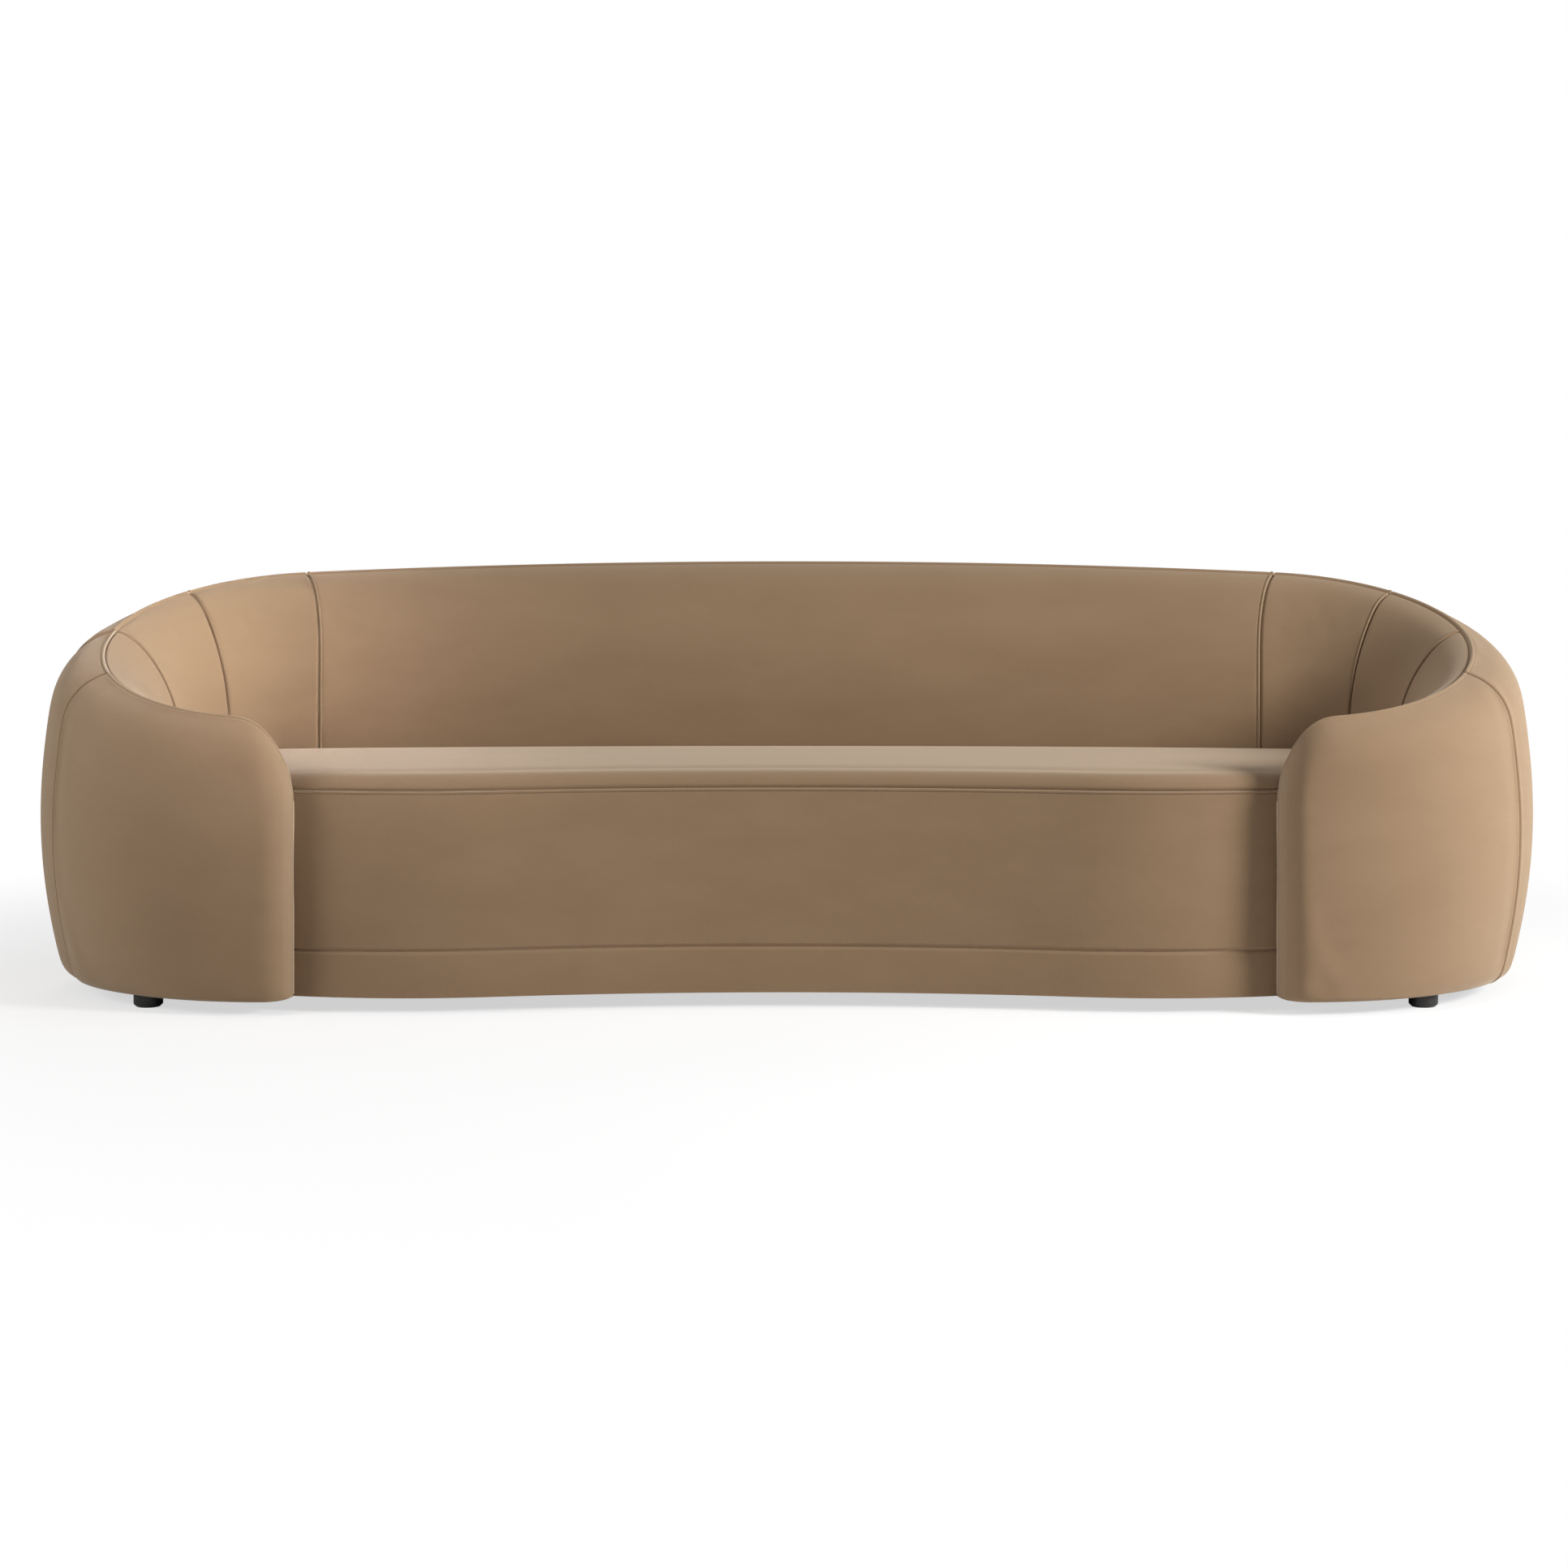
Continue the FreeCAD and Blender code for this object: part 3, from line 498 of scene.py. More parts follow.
INSIDE = (0, 6)
OUTSIDE = (6, 12)
seam_two = run_at(SEAM_TWO_TURN)
seam_three = run_at(SEAM_THREE_TURN)
arm_seam = run_at(ARM_SEAM_TURN)

# Panels of the shell: name, first and last run, side, kinds of its edges and the frame's nodes that
# each stands for. The edges are the lower one, the upper one, the one nearer the middle and the far one
# on the inside, and the rim, the hem, the near and the far one on the outside.
BOTH_FOLDED = ("free", "plain", "folded", "folded")
FAR_FOLDED = ("free", "plain", "plain", "folded")
RIM_AND_BOTH = ("folded", "free", "folded", "folded")
RIM_AND_FAR = ("folded", "free", "plain", "folded")
PANELS = [
    ("inside_back", -back_run, back_run, INSIDE, BOTH_FOLDED, ["inside_back_cover", "inside_back_pad"]),
    ("outside_back", -back_run, back_run, OUTSIDE, RIM_AND_BOTH,
     ["outside_back_cover", "outside_back_pad"]),
    ("outside_side_right", seam_two, arm_seam, OUTSIDE, RIM_AND_FAR, ["outside_side_cover_right"]),
    ("outside_corner_left", -seam_two, -seam_three, OUTSIDE, RIM_AND_FAR, ["outside_corner_cover_left"]),
    ("outside_side_left", -seam_three, -arm_seam, OUTSIDE, RIM_AND_FAR, ["outside_side_cover_left"]),
]
for hand, sign in (("right", 1), ("left", -1)):
    PANELS += [
        (f"inside_quarter_{hand}", sign * back_run, sign * seam_two, INSIDE, FAR_FOLDED,
         [f"inside_quarter_cover_{hand}", f"inside_corner_pad_{hand}"]),
        (f"inside_corner_{hand}", sign * seam_two, sign * seam_three, INSIDE, FAR_FOLDED,
         [f"inside_corner_cover_{hand}"]),
        (f"inside_arm_{hand}", sign * seam_three, sign * total_run, INSIDE, ("free", "plain", "plain", "free"),
         [f"inside_arm_cover_{hand}", f"inside_arm_pad_{hand}", f"arm_return_cover_{hand}"]),
        (f"outside_quarter_{hand}", sign * back_run, sign * seam_two, OUTSIDE, RIM_AND_FAR,
         [f"outside_quarter_cover_{hand}", f"outside_corner_pad_{hand}"]),
        (f"arm_front_{hand}", sign * arm_seam, sign * total_run, OUTSIDE, ("folded", "free", "plain", "free"),
         [f"arm_front_cover_{hand}", f"outside_arm_pad_{hand}", f"arm_nose_pad_{hand}"]),
    ]

velvet_pieces = []
for name, start, end, side, edges, nodes in PANELS:
    panel = wall_panel(f"velvet_{name}", start, end, side, edges)
    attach(panel, ROOT)
    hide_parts(*nodes)
    velvet_pieces.append(panel)


# Plan of the seat
nose_slope = 2 * (SEAT_FRONT_MID - SEAT_NOSE_Y) / SEAT_NOSE_X
hollow_end_x = SEAT_NOSE_X - nose_slope * SEAT_NOSE_RADIUS
hollow_radius = hollow_end_x / nose_slope
front_end_x = ARM_END_X + 2 * ARM_TIP
SEAT_CORNER_TURN = 52
SEAT_COLUMNS = 150
FRONT_SAMPLES = 400
SIDE_SAMPLES = 80
BACK_SAMPLES = 300
FACE_SAMPLES = 600
SEAM_PULL_SHARE = 0.8
SEAM_PULL_HEIGHT = 0.006
SEAT_DEPTH = 0.68
ROLL_STEP = 6
TOP_ROWS = 44
CROWN_SHARE = 0.6
CROWN_REACH = 0.28
TUCK_DROP = 0.012
TUCK_REACH = 0.022
TUCK_POWER = 1.4
SIDE_DROP = 0.005
SIDE_REACH = 0.16


def inner_face(run, gap):
    """Plan point on the inside face of the shell, or a gap in front of it."""
    point, turn = plan_point(run)
    inner = wall_chain(run, TUCK)[0].x
    return point + Vector((math.sin(turn), math.cos(turn), 0)) * (inner - gap)


def seat_front_y(x):
    """Depth of the seat's front face at one place across."""
    x = abs(x)
    if x > front_end_x:
        join = inner_face(total_run - ARM_CORNER_RUN, SEAT_GAP)
        edge = front_y + SEAT_NOSE_Y + (front_end_x - SEAT_NOSE_X) ** 2 / (2 * SEAT_NOSE_RADIUS)
        return edge + (join.y - edge) * (x - front_end_x) / (join.x - front_end_x)
    if x < hollow_end_x:
        return front_y + SEAT_FRONT_MID - x * x / (2 * hollow_radius)
    return front_y + SEAT_NOSE_Y + (x - SEAT_NOSE_X) ** 2 / (2 * SEAT_NOSE_RADIUS)


def front_line(samples):
    """Fine line of the seat's front in plan, from one join with the shell to the other."""
    across = (seat_join.x * (2 * i / samples - 1) for i in range(samples + 1))
    return [Vector((x, seat_front_y(x), 0)) for x in across]


def resample(points, count):
    return spread(points, [i / (count - 1) for i in range(count)])


def seat_top(name):
    """Crowned top of the seat: a patch between the front line and the shell's inside face."""
    front = front_line(FRONT_SAMPLES)
    right = [inner_face(join_run - (join_run - corner_mark) * i / SIDE_SAMPLES, SEAT_GAP)
             for i in range(SIDE_SAMPLES + 1)]
    back = [inner_face(corner_mark * (2 * i / BACK_SAMPLES - 1), SEAT_GAP)
            for i in range(BACK_SAMPLES + 1)]
    left = [Vector((-p.x, p.y, 0)) for p in right]
    shell_edge = KDTree(len(right) + len(left) + len(back))
    for index, p in enumerate([*right, *left, *back]):
        shell_edge.insert(p, index)
    shell_edge.balance()
    rows = seat_rows()
    front = resample(front, SEAT_COLUMNS)
    back = resample(back, SEAT_COLUMNS)
    left_line = spread(left, rows)
    right_line = spread(right, rows)
    grid = []
    for i in range(SEAT_COLUMNS):
        s = i / (SEAT_COLUMNS - 1)
        column = []
        for k, t in enumerate(rows):
            corners = front[0].lerp(front[-1], s).lerp(back[0].lerp(back[-1], s), t)
            p = left_line[k].lerp(right_line[k], s) + front[i].lerp(back[i], t) - corners
            from_front = max(p.y - seat_front_y(p.x), 0.0)
            p.z = seat_top_height(from_front, shell_edge.find(p)[2])
            p.y += GROOVE_DEPTH * SEAM_PULL_SHARE * (1 - smooth((p.z - SEAT_SEAM) / SEAM_PULL_HEIGHT))
            column.append(p)
        grid.append(column)
    obj = grid_object(name, grid)
    finish_panel(obj, len(rows), Vector((0, 0, 1)), SEAT_PUFF)
    return obj


def seat_rows():
    """Shares from front to back, close together where the front edge rounds over."""
    roll = [SEAT_EDGE_RADIUS * (1 - math.cos(math.radians(a))) for a in range(0, 91, ROLL_STEP)]
    top = [roll[-1] + (SEAT_DEPTH - roll[-1]) * i / TOP_ROWS for i in range(1, TOP_ROWS + 1)]
    return [value / SEAT_DEPTH for value in roll + top]


def seat_top_height(from_front, to_shell):
    """Height of the seat's top: rounded over at the front, crowned, and tucked in at the shell."""
    crown = SEAT_CROWN * CROWN_SHARE * (1 - smooth(from_front / CROWN_REACH))
    tuck = TUCK_DROP * (1 - smooth(to_shell / TUCK_REACH)) ** TUCK_POWER
    side = SIDE_DROP * (1 - smooth(to_shell / SIDE_REACH))
    top = SEAT_HEIGHT - crown - tuck - side
    if from_front < SEAT_EDGE_RADIUS:
        along = 1 - from_front / SEAT_EDGE_RADIUS
        top -= (top - SEAT_SEAM) * (1 - math.sqrt(max(0.0, 1 - along * along)))
    return top


def front_panel(name, bottom, top, edges, belly):
    """Upright panel along the seat's front, between two seams."""
    line = resample(front_line(FACE_SAMPLES), round(2 * seat_join.x / FRONT_PITCH))
    height = top - bottom
    rows = grid_marks(height, max(3, round(height / FRONT_PITCH)))
    grid = []
    for index, p in enumerate(line):
        ahead = line[min(index + 1, len(line) - 1)] - line[max(index - 1, 0)]
        outward = Vector((ahead.y, -ahead.x, 0)).normalized()
        column = []
        for mark in rows:
            lift = belly * math.sin(math.pi * mark / height)
            lift += seam_lift(mark, edges[0]) + seam_lift(height - mark, edges[1])
            column.append(p + outward * lift + Vector((0, 0, bottom + mark)))
        grid.append(column)
    obj = grid_object(name, grid)
    finish_panel(obj, len(rows), Vector((0, -1, 0)), FRONT_PUFF)
    note_stitches(obj, grid, (*edges, "free", "free"))
    return obj


join_run = total_run - ARM_CORNER_RUN
seat_join = inner_face(join_run, SEAT_GAP)
corner_mark = run_at(SEAT_CORNER_TURN)
SEAT_PIECES = [
    (seat_top("velvet_seat_top"), ["seat_top_cover", "seat_core"]),
    (front_panel("velvet_seat_front", PLINTH_SEAM, SEAT_SEAM, ("plain", "folded"), 0.003),
     ["seat_front_cover", "seat_front_pad"]),
    (front_panel("velvet_plinth", UNDERSIDE, PLINTH_SEAM, ("free", "plain"), 0.001), ["plinth_band"]),
]
for panel, nodes in SEAT_PIECES:
    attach(panel, ROOT)
    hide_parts(*nodes)
    velvet_pieces.append(panel)


def tube_along(name, points, radius):
    """Round piping along a line, made from a bevelled curve."""
    curve = bpy.data.curves.new(name, "CURVE")
    curve.dimensions = "3D"
    curve.bevel_depth = radius
    curve.bevel_resolution = 1
    curve.use_fill_caps = True
    spline = curve.splines.new("POLY")
    spline.points.add(len(points) - 1)
    for target, p in zip(spline.points, points):
        target.co = (*p, 1)
    source = bpy.data.objects.new(name, curve)
    bpy.context.collection.objects.link(source)
    select_only(source)
    bpy.ops.object.convert(target="MESH")
    bpy.ops.object.shade_smooth()
    return bpy.context.view_layer.objects.active


def welt_line():
    """Line of the welt: up the inner edge of one arm's end, along the rim and down the other."""
    count = round(2 * total_run / WELT_PITCH)
    rim = [wall_point(total_run * (2 * i / count - 1), *INSIDE, 1.0, -WELT_SINK) for i in range(count + 1)]
    foot = wall_point(-total_run, *INSIDE, 0.0, 0.0).z
    climb = []
    for i in range(WELT_CLIMB_POINTS):
        z = foot + WELT_FOOT + (rim[0].z - foot - WELT_FOOT) * i / WELT_CLIMB_POINTS
        climb.append(Vector((rim[0].x + WELT_STAND, rim[0].y, z)))
    descent = [Vector((rim[-1].x - WELT_STAND, rim[-1].y, p.z)) for p in reversed(climb)]
    return climb + rim + descent


welt = tube_along("velvet_welt", welt_line(), WELT_RADIUS)
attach(welt, ROOT)
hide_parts("arm_end_edge_left", "arm_end_edge_right")


def add_stitch(verts, faces, place, along, up):
    """One stitch of thread: a flat lens, thickest in its middle."""
    side = along.cross(up).normalized()
    base = len(verts)
    verts.append(place - along * STITCH_LENGTH / 2)
    for step, width in ((-0.28, 0.8), (0.28, 0.8)):
        centre = place + along * STITCH_LENGTH * step
        half = STITCH_WIDTH / 2 * width
        verts.extend((centre + side * half, centre + up * half, centre - side * half, centre - up * half))
    verts.append(place + along * STITCH_LENGTH / 2)
    for k in range(4):
        near, after = base + 1 + k, base + 1 + (k + 1) % 4
        faces.append((base, after, near))
        faces.append((near, after, after + 4, near + 4))
        faces.append((near + 4, after + 4, base + 9))


def stitch_row(name, panel, line):
    """Row of topstitches that lies on a panel along a line."""
    surface = BVHTree.FromObject(panel, bpy.context.evaluated_depsgraph_get())
    count = int(line_length(line) / STITCH_PITCH)
    marks = spread(line, [(i + 0.5) / count for i in range(count)])
    verts, faces = [], []
    for index, mark in enumerate(marks):
        found, normal, _, _ = surface.find_nearest(mark)
        ahead = marks[min(index + 1, count - 1)] - marks[max(index - 1, 0)]
        along = (ahead - normal * ahead.dot(normal)).normalized()
        add_stitch(verts, faces, found + normal * 0.0001, along, normal)
    obj = mesh_object(name, verts, faces)
    recalculate = bmesh.new()
    recalculate.from_mesh(obj.data)
    bmesh.ops.recalc_face_normals(recalculate, faces=recalculate.faces)
    recalculate.to_mesh(obj.data)
    recalculate.free()
    return obj


thread_pieces = []
for number, (panel, line) in enumerate(stitch_lines):
    row = stitch_row(f"thread_{panel.name[7:]}_{number}", panel, line)
    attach(row, ROOT)
    thread_pieces.append(row)


# Radius and height of each corner of a foot's section
FOOT_PROFILE = [
    (0.0, 0.0), (0.0200, 0.0), (0.0213, 0.0003), (0.0256, 0.0044), (0.0264, 0.0056), (0.0265, 0.0070),
    (0.0265, 0.0226), (0.0262, 0.0230), (0.0262, 0.0234), (0.0265, 0.0238), (0.0265, 0.0268),
    (0.0258, 0.0278), (0.0, 0.0278),
]
FOOT_SIDES = 64


def round_foot(name, centre):
    """Turned foot: a drum with a bevelled floor edge, eased corners and a fine line near the top."""
    profile, sides = FOOT_PROFILE, FOOT_SIDES
    verts = [Vector((centre.x, centre.y, profile[0][1])), Vector((centre.x, centre.y, profile[-1][1]))]
    rings = profile[1:-1]
    for radius, z in rings:
        for i in range(sides):
            turn = 2 * math.pi * i / sides
            verts.append(Vector((centre.x + radius * math.cos(turn), centre.y + radius * math.sin(turn), z)))
    faces = []
    for i in range(sides):
        after = (i + 1) % sides
        faces.append((0, 2 + after, 2 + i))
        for ring in range(len(rings) - 1):
            low, high = 2 + ring * sides, 2 + (ring + 1) * sides
            faces.append((low + i, low + after, high + after, high + i))
        top = 2 + (len(rings) - 1) * sides
        faces.append((top + i, top + after, 1))
    obj = mesh_object(name, verts, faces)
    select_only(obj)
    bpy.ops.object.shade_smooth_by_angle(angle=math.radians(35))
    return obj


feet = []
for place in ("front_left", "front_right", "rear_left", "rear_right"):
    low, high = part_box(f"foot_{place}")
    foot = round_foot(f"turned_foot_{place}", (Vector(low) + Vector(high)) / 2)
    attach(foot, ROOT)
    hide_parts(f"foot_{place}")
    feet.append(foot)

# Camera at the photograph's place: level and square to the sofa, a little right of its middle, with
# the picture shifted. The sofa's middle is on CENTRE_COLUMN at MIDDLE_BEHIND past the arms' ends.
FOCAL_PIXELS = 4050
FRAME_PIXELS = 1932
CAMERA_X = 0.083
CAMERA_HEIGHT = 0.941
CAMERA_TO_ARMS = 5.831
HORIZON_ROW = 600
CENTRE_COLUMN = 968
MIDDLE_BEHIND = 0.1
camera_data = bpy.data.cameras.new("camera")
camera_data.sensor_width = 36
camera_data.lens = 36 * FOCAL_PIXELS / FRAME_PIXELS
principal_column = CENTRE_COLUMN + FOCAL_PIXELS * CAMERA_X / (CAMERA_TO_ARMS + MIDDLE_BEHIND)
camera_data.shift_x = (FRAME_PIXELS / 2 - principal_column) / FRAME_PIXELS
camera_data.shift_y = (HORIZON_ROW - FRAME_PIXELS / 2) / FRAME_PIXELS
camera = bpy.data.objects.new("camera", camera_data)
camera.location = (CAMERA_X, front_y - CAMERA_TO_ARMS, CAMERA_HEIGHT)
camera.rotation_euler = (math.radians(90), 0, 0)
bpy.context.collection.objects.link(camera)
bpy.context.scene.camera = camera


def new_material(name):
    material = bpy.data.materials.new(name)
    material.use_nodes = True
    nodes = material.node_tree.nodes
    return material, nodes, material.node_tree.links, nodes["Principled BSDF"]


def grain_group():
    """Fine grain of a cloth or a wood, stretched along one way, as a mask from 0 to 1."""
    group = bpy.data.node_groups.new("stretched_grain", "ShaderNodeTree")
    stretch = group.interface.new_socket("Stretch", in_out="INPUT", socket_type="NodeSocketVector")
    stretch.default_value = (1, 1, 1)
    scale = group.interface.new_socket("Scale", in_out="INPUT", socket_type="NodeSocketFloat")
    scale.default_value = 100
    group.interface.new_socket("Mask", in_out="OUTPUT", socket_type="NodeSocketFloat")
    start = group.nodes.new("NodeGroupInput")
    end = group.nodes.new("NodeGroupOutput")
    place = group.nodes.new("ShaderNodeTexCoord")
    stretched = group.nodes.new("ShaderNodeVectorMath")
    stretched.operation = "MULTIPLY"
    noise = group.nodes.new("ShaderNodeTexNoise")
    noise.inputs["Detail"].default_value = 3.0
    noise.inputs["Roughness"].default_value = 0.6
    contrast = group.nodes.new("ShaderNodeMapRange")
    contrast.inputs["From Min"].default_value = 0.3
    contrast.inputs["From Max"].default_value = 0.7
    group.links.new(place.outputs["Object"], stretched.inputs[0])
    group.links.new(start.outputs["Stretch"], stretched.inputs[1])
    group.links.new(stretched.outputs["Vector"], noise.inputs["Vector"])
    group.links.new(start.outputs["Scale"], noise.inputs["Scale"])
    group.links.new(noise.outputs["Fac"], contrast.inputs["Value"])
    group.links.new(contrast.outputs["Result"], end.inputs["Mask"])
    return group


GRAIN = grain_group()


def grain_mask(nodes, scale, stretch=(1, 1, 1)):
    """Mask of the grain group placed in a material with its own values."""
    node = nodes.new("ShaderNodeGroup")
    node.node_tree = GRAIN
    node.inputs["Scale"].default_value = scale
    node.inputs["Stretch"].default_value = stretch
    return node.outputs["Mask"]


def blended(nodes, links, factor, first, second, blend="MIX"):
    """Colour between two colours or links, by a factor that is a number or a link."""
    mix = nodes.new("ShaderNodeMix")
    mix.data_type = "RGBA"
    mix.blend_type = blend
    for socket, value in (("Factor", factor), ("A", first), ("B", second)):
        if isinstance(value, bpy.types.NodeSocket):
            links.new(value, mix.inputs[socket])
        else:
            mix.inputs[socket].default_value = value
    return mix.outputs["Result"]


def ranged(nodes, links, value, low, high):
    """A mask turned into values between low and high."""
    node = nodes.new("ShaderNodeMapRange")
    node.inputs["To Min"].default_value = low
    node.inputs["To Max"].default_value = high
    links.new(value, node.inputs["Value"])
    return node.outputs["Result"]


def bumped(nodes, links, shader, height, distance, strength):
    bump = nodes.new("ShaderNodeBump")
    bump.inputs["Distance"].default_value = distance
    bump.inputs["Strength"].default_value = strength
    links.new(height, bump.inputs["Height"])
    links.new(bump.outputs["Normal"], shader.inputs["Normal"])


def velvet_material(name, deep, pale):
    """Velvet: a short pile with painted sheen, deep in colour seen straight on and painted pale where it turns
    away.
    """
    material, nodes, links, shader = new_material(name)
    turned = nodes.new("ShaderNodeLayerWeight")
    turned.inputs["Blend"].default_value = 0.28
    patches = grain_mask(nodes, 5.0, (1, 1, 2.5))
    streaks = grain_mask(nodes, 60.0, (0.4, 0.4, 3.0))
    pile = grain_mask(nodes, 520.0)
    # Painted sheen: the base colour goes from the deep colour facing the camera to the pale one at grazing
    # angles
    painted_sheen_tone = blended(nodes, links, turned.outputs["Facing"], (*deep, 1), (*pale, 1))
    brushed_over_sheen = blended(nodes, links, ranged(nodes, links, patches, 0.0, 0.09), painted_sheen_tone, (*pale, 1))
    streaked_over_sheen = blended(nodes, links, ranged(nodes, links, streaks, 0.0, 0.10), brushed_over_sheen, (*deep, 1))
    speck = ranged(nodes, links, pile, 0.0, 0.16)
    links.new(blended(nodes, links, speck, streaked_over_sheen, (*deep, 1)), shader.inputs["Base Color"])
    links.new(ranged(nodes, links, pile, 0.78, 0.92), shader.inputs["Roughness"])
    shader.inputs["Specular IOR Level"].default_value = 0.15
    shader.inputs["Sheen Weight"].default_value = 0.35
    shader.inputs["Sheen Roughness"].default_value = 0.40
    shader.inputs["Sheen Tint"].default_value = (1.0, 0.88, 0.74, 1)
    bumped(nodes, links, shader, pile, 0.0004, 0.30)
    return material


def thread_material():
    """Twisted sewing thread, a deeper brown than the velvet."""
    material, nodes, links, shader = new_material("sewing_thread")
    twist = grain_mask(nodes, 900.0, (1, 1, 3))
    links.new(blended(nodes, links, twist, (0.060, 0.038, 0.022, 1), (0.115, 0.078, 0.048, 1)),
              shader.inputs["Base Color"])
    shader.inputs["Roughness"].default_value = 0.7
    bumped(nodes, links, shader, twist, 0.0002, 0.4)
    return material


def lacquer_material():
    """Feet: charcoal lacquer over wood, with a hint of the grain and fine scuffs."""
    material, nodes, links, shader = new_material("charcoal_lacquer")
    scuffs = grain_mask(nodes, 160.0, (1, 1, 0.3))
    links.new(blended(nodes, links, scuffs, (0.014, 0.013, 0.013, 1), (0.026, 0.024, 0.023, 1)),
              shader.inputs["Base Color"])
    links.new(ranged(nodes, links, scuffs, 0.30, 0.48), shader.inputs["Roughness"])
    shader.inputs["Coat Weight"].default_value = 0.15
    bumped(nodes, links, shader, scuffs, 0.0001, 0.25)
    return material


def wood_material():
    """Frame wood: pale birch with long grain and darker growth bands."""
    material, nodes, links, shader = new_material("frame_birch")
    fibres = grain_mask(nodes, 40.0, (0.15, 1, 6))
    bands = grain_mask(nodes, 8.0, (0.2, 1, 5))
    wood = blended(nodes, links, fibres, (0.52, 0.37, 0.21, 1), (0.66, 0.50, 0.31, 1))
    links.new(blended(nodes, links, ranged(nodes, links, bands, 0.0, 0.5), wood, (0.40, 0.26, 0.14, 1)),
              shader.inputs["Base Color"])
    links.new(ranged(nodes, links, fibres, 0.5, 0.7), shader.inputs["Roughness"])
    bumped(nodes, links, shader, fibres, 0.0004, 0.3)
    return material


def woven_material(name, dark, light, pitch):
    """Plain weave of two sets of threads, with uneven yarn."""
    material, nodes, links, shader = new_material(name)
    place = nodes.new("ShaderNodeTexCoord")
    weave = nodes.new("ShaderNodeTexChecker")
    weave.inputs["Scale"].default_value = 1 / pitch
    links.new(place.outputs["Object"], weave.inputs["Vector"])
    yarn = grain_mask(nodes, 700.0, (1, 0.3, 1))
    threads = blended(nodes, links, weave.outputs["Fac"], (*dark, 1), (*light, 1))
    links.new(blended(nodes, links, ranged(nodes, links, yarn, 0.0, 0.4), threads, (*dark, 1)),
              shader.inputs["Base Color"])
    shader.inputs["Roughness"].default_value = 0.85
    bumped(nodes, links, shader, yarn, 0.0003, 0.4)
    return material


def steel_material():
    """Zinc-plated bolts: grey metal with a dull, slightly mottled coat."""
    material, nodes, links, shader = new_material("zinc_steel")
    spangle = grain_mask(nodes, 300.0)
    links.new(blended(nodes, links, spangle, (0.46, 0.47, 0.49, 1), (0.62, 0.63, 0.65, 1)),
              shader.inputs["Base Color"])
    links.new(ranged(nodes, links, spangle, 0.28, 0.45), shader.inputs["Roughness"])
    shader.inputs["Metallic"].default_value = 1.0
    return material


def finish_with(pieces, material):
    for piece in pieces:
        piece.data.materials.clear()
        piece.data.materials.append(material)


# Velvet colours: the deep one is the cloth seen straight on; the pale one is the painted sheen at grazing
# angles and the colour of the brushed patches
NAP_DEEP = (0.240, 0.155, 0.090)
PALE_NAP_AND_SHEEN = (0.490, 0.352, 0.228)
# The welt's colours are a painted highlight: the same velvet painted much paler so that the piping reads as a
# bright line
WELT_HIGHLIGHT_DEEP = (0.480, 0.375, 0.265)
WELT_HIGHLIGHT_PALE = (0.720, 0.600, 0.455)
finish_with(velvet_pieces, velvet_material("tan_velvet", NAP_DEEP, PALE_NAP_AND_SHEEN))
finish_with([welt], velvet_material("welt_velvet", WELT_HIGHLIGHT_DEEP, WELT_HIGHLIGHT_PALE))
finish_with(thread_pieces, thread_material())
finish_with(feet, lacquer_material())
WOOD_NODES = ["back_panel", "back_top_rail", "back_base_rail", "deck_rim", "frame_posts", "front_rail",
              "cross_rails", "foot_plates"]
for hand in ("left", "right"):
    WOOD_NODES += [f"side_panel_{hand}", f"side_top_rail_{hand}", f"side_base_rail_{hand}",
                   f"arm_board_{hand}"]
finish_with([nodes_of[name] for name in WOOD_NODES], wood_material())
webbing = woven_material("rubber_webbing", (0.030, 0.027, 0.024), (0.30, 0.24, 0.17), 0.004)
finish_with([nodes_of["seat_webbing"]], webbing)
lining = woven_material("black_lining", (0.006, 0.006, 0.007), (0.020, 0.020, 0.022), 0.0012)
finish_with([nodes_of["dust_cover"]], lining)
finish_with([nodes_of["foot_bolts"]], steel_material())


def area_light(name, place, target, size, power, spread_degrees=180):
    data = bpy.data.lights.new(name, "AREA")
    data.shape = "DISK"
    data.size = size
    data.energy = power
    data.spread = math.radians(spread_degrees)
    lamp = bpy.data.objects.new(name, data)
    lamp.location = place
    lamp.rotation_euler = (Vector(target) - Vector(place)).to_track_quat("-Z", "Y").to_euler()
    bpy.context.collection.objects.link(lamp)


# Lamps: name, place, aim, size, power and, where it is narrowed, its spread in degrees
LAMPS = [
    ("key", (4.4, -2.4, 2.2), (0, 0, 0.4), 1.5, 245),
    ("left_corner", (1.3, -3.2, 1.5), (-1.3, 0.2, 0.76), 0.5, 2.4, 18),
    ("side", (4.6, 0.2, 2.0), (0, 0, 0.4), 1.6, 10),
    ("front", (0.3, -5.0, 2.6), (0, 0, 0.4), 2.4, 12),
    ("left", (-4.0, -2.6, 2.2), (0, 0, 0.4), 2.0, 80),
    ("back", (-1.5, 4.6, 2.6), (0, 0, 0.4), 2.4, 45),
    ("top", (0.3, -0.2, 4.2), (0, 0, 0.4), 2.6, 20),
]
WORLD_LEVEL = 0.12
for lamp in LAMPS:
    area_light(*lamp)

bpy.ops.mesh.primitive_plane_add(size=80, location=(0, 0, 0))
floor = bpy.context.view_layer.objects.active
floor.name = "studio_floor"


FLOOR_GLOW = 0.62
FLOOR_SHADE = 0.45
FLOOR_FADE = (1.5, 2.6)


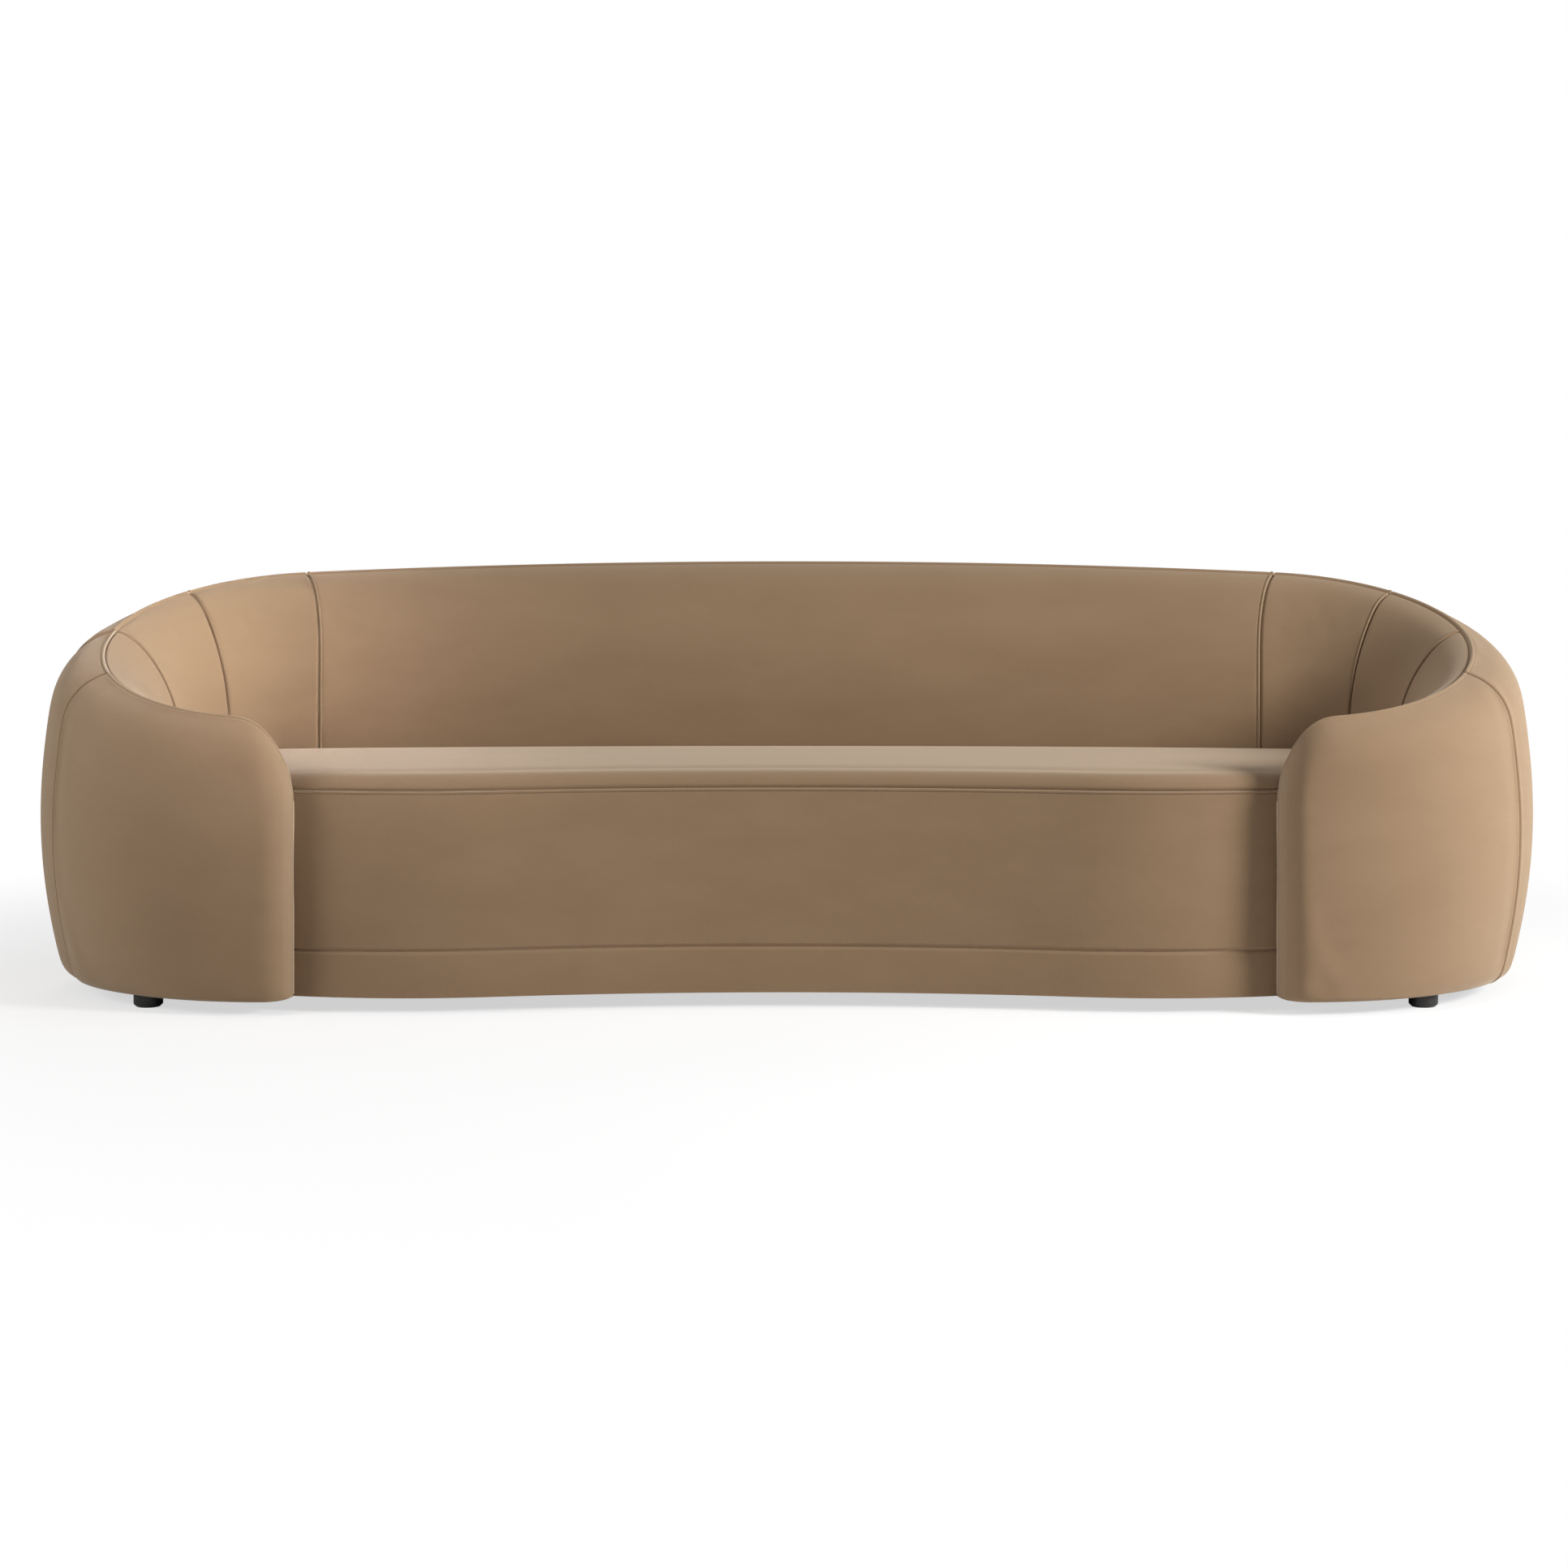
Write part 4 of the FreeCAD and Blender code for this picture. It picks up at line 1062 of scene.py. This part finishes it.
def floor_material():
    """White floor that keeps the sofa's shadow near it and is plain white further out."""
    material, nodes, links, shader = new_material("studio_floor")
    shader.inputs["Base Color"].default_value = (0.8, 0.8, 0.8, 1)
    shader.inputs["Roughness"].default_value = 1.0
    shader.inputs["Specular IOR Level"].default_value = 0.0
    path = nodes.new("ShaderNodeLightPath")
    white = nodes.new("ShaderNodeEmission")
    glow = nodes.new("ShaderNodeEmission")
    glow.inputs["Strength"].default_value = FLOOR_GLOW
    shaded = nodes.new("ShaderNodeBsdfDiffuse")
    shaded.inputs["Color"].default_value = (FLOOR_SHADE, FLOOR_SHADE, FLOOR_SHADE, 1)
    near = nodes.new("ShaderNodeAddShader")
    links.new(glow.outputs["Emission"], near.inputs[0])
    links.new(shaded.outputs["BSDF"], near.inputs[1])
    place = nodes.new("ShaderNodeTexCoord")
    away = nodes.new("ShaderNodeVectorMath")
    away.operation = "LENGTH"
    links.new(place.outputs["Object"], away.inputs[0])
    fade = nodes.new("ShaderNodeMapRange")
    fade.interpolation_type = "SMOOTHSTEP"
    fade.inputs["From Min"].default_value = FLOOR_FADE[0]
    fade.inputs["From Max"].default_value = FLOOR_FADE[1]
    links.new(away.outputs["Value"], fade.inputs["Value"])
    seen = nodes.new("ShaderNodeMixShader")
    links.new(fade.outputs["Result"], seen.inputs["Fac"])
    links.new(near.outputs["Shader"], seen.inputs[1])
    links.new(white.outputs["Emission"], seen.inputs[2])
    mix = nodes.new("ShaderNodeMixShader")
    links.new(path.outputs["Is Camera Ray"], mix.inputs["Fac"])
    links.new(shader.outputs["BSDF"], mix.inputs[1])
    links.new(seen.outputs["Shader"], mix.inputs[2])
    links.new(mix.outputs["Shader"], nodes["Material Output"].inputs["Surface"])
    return material


floor.data.materials.append(floor_material())

world = bpy.data.worlds.new("studio")
world.use_nodes = True
bpy.context.scene.world = world
background = world.node_tree.nodes["Background"]
background.inputs["Color"].default_value = (1, 1, 1, 1)
path = world.node_tree.nodes.new("ShaderNodeLightPath")
level = world.node_tree.nodes.new("ShaderNodeMix")
level.data_type = "FLOAT"
level.inputs["A"].default_value = WORLD_LEVEL
level.inputs["B"].default_value = 1.0
world.node_tree.links.new(path.outputs["Is Camera Ray"], level.inputs["Factor"])
world.node_tree.links.new(level.outputs["Result"], background.inputs["Strength"])

bpy.context.scene.view_settings.view_transform = "Standard"
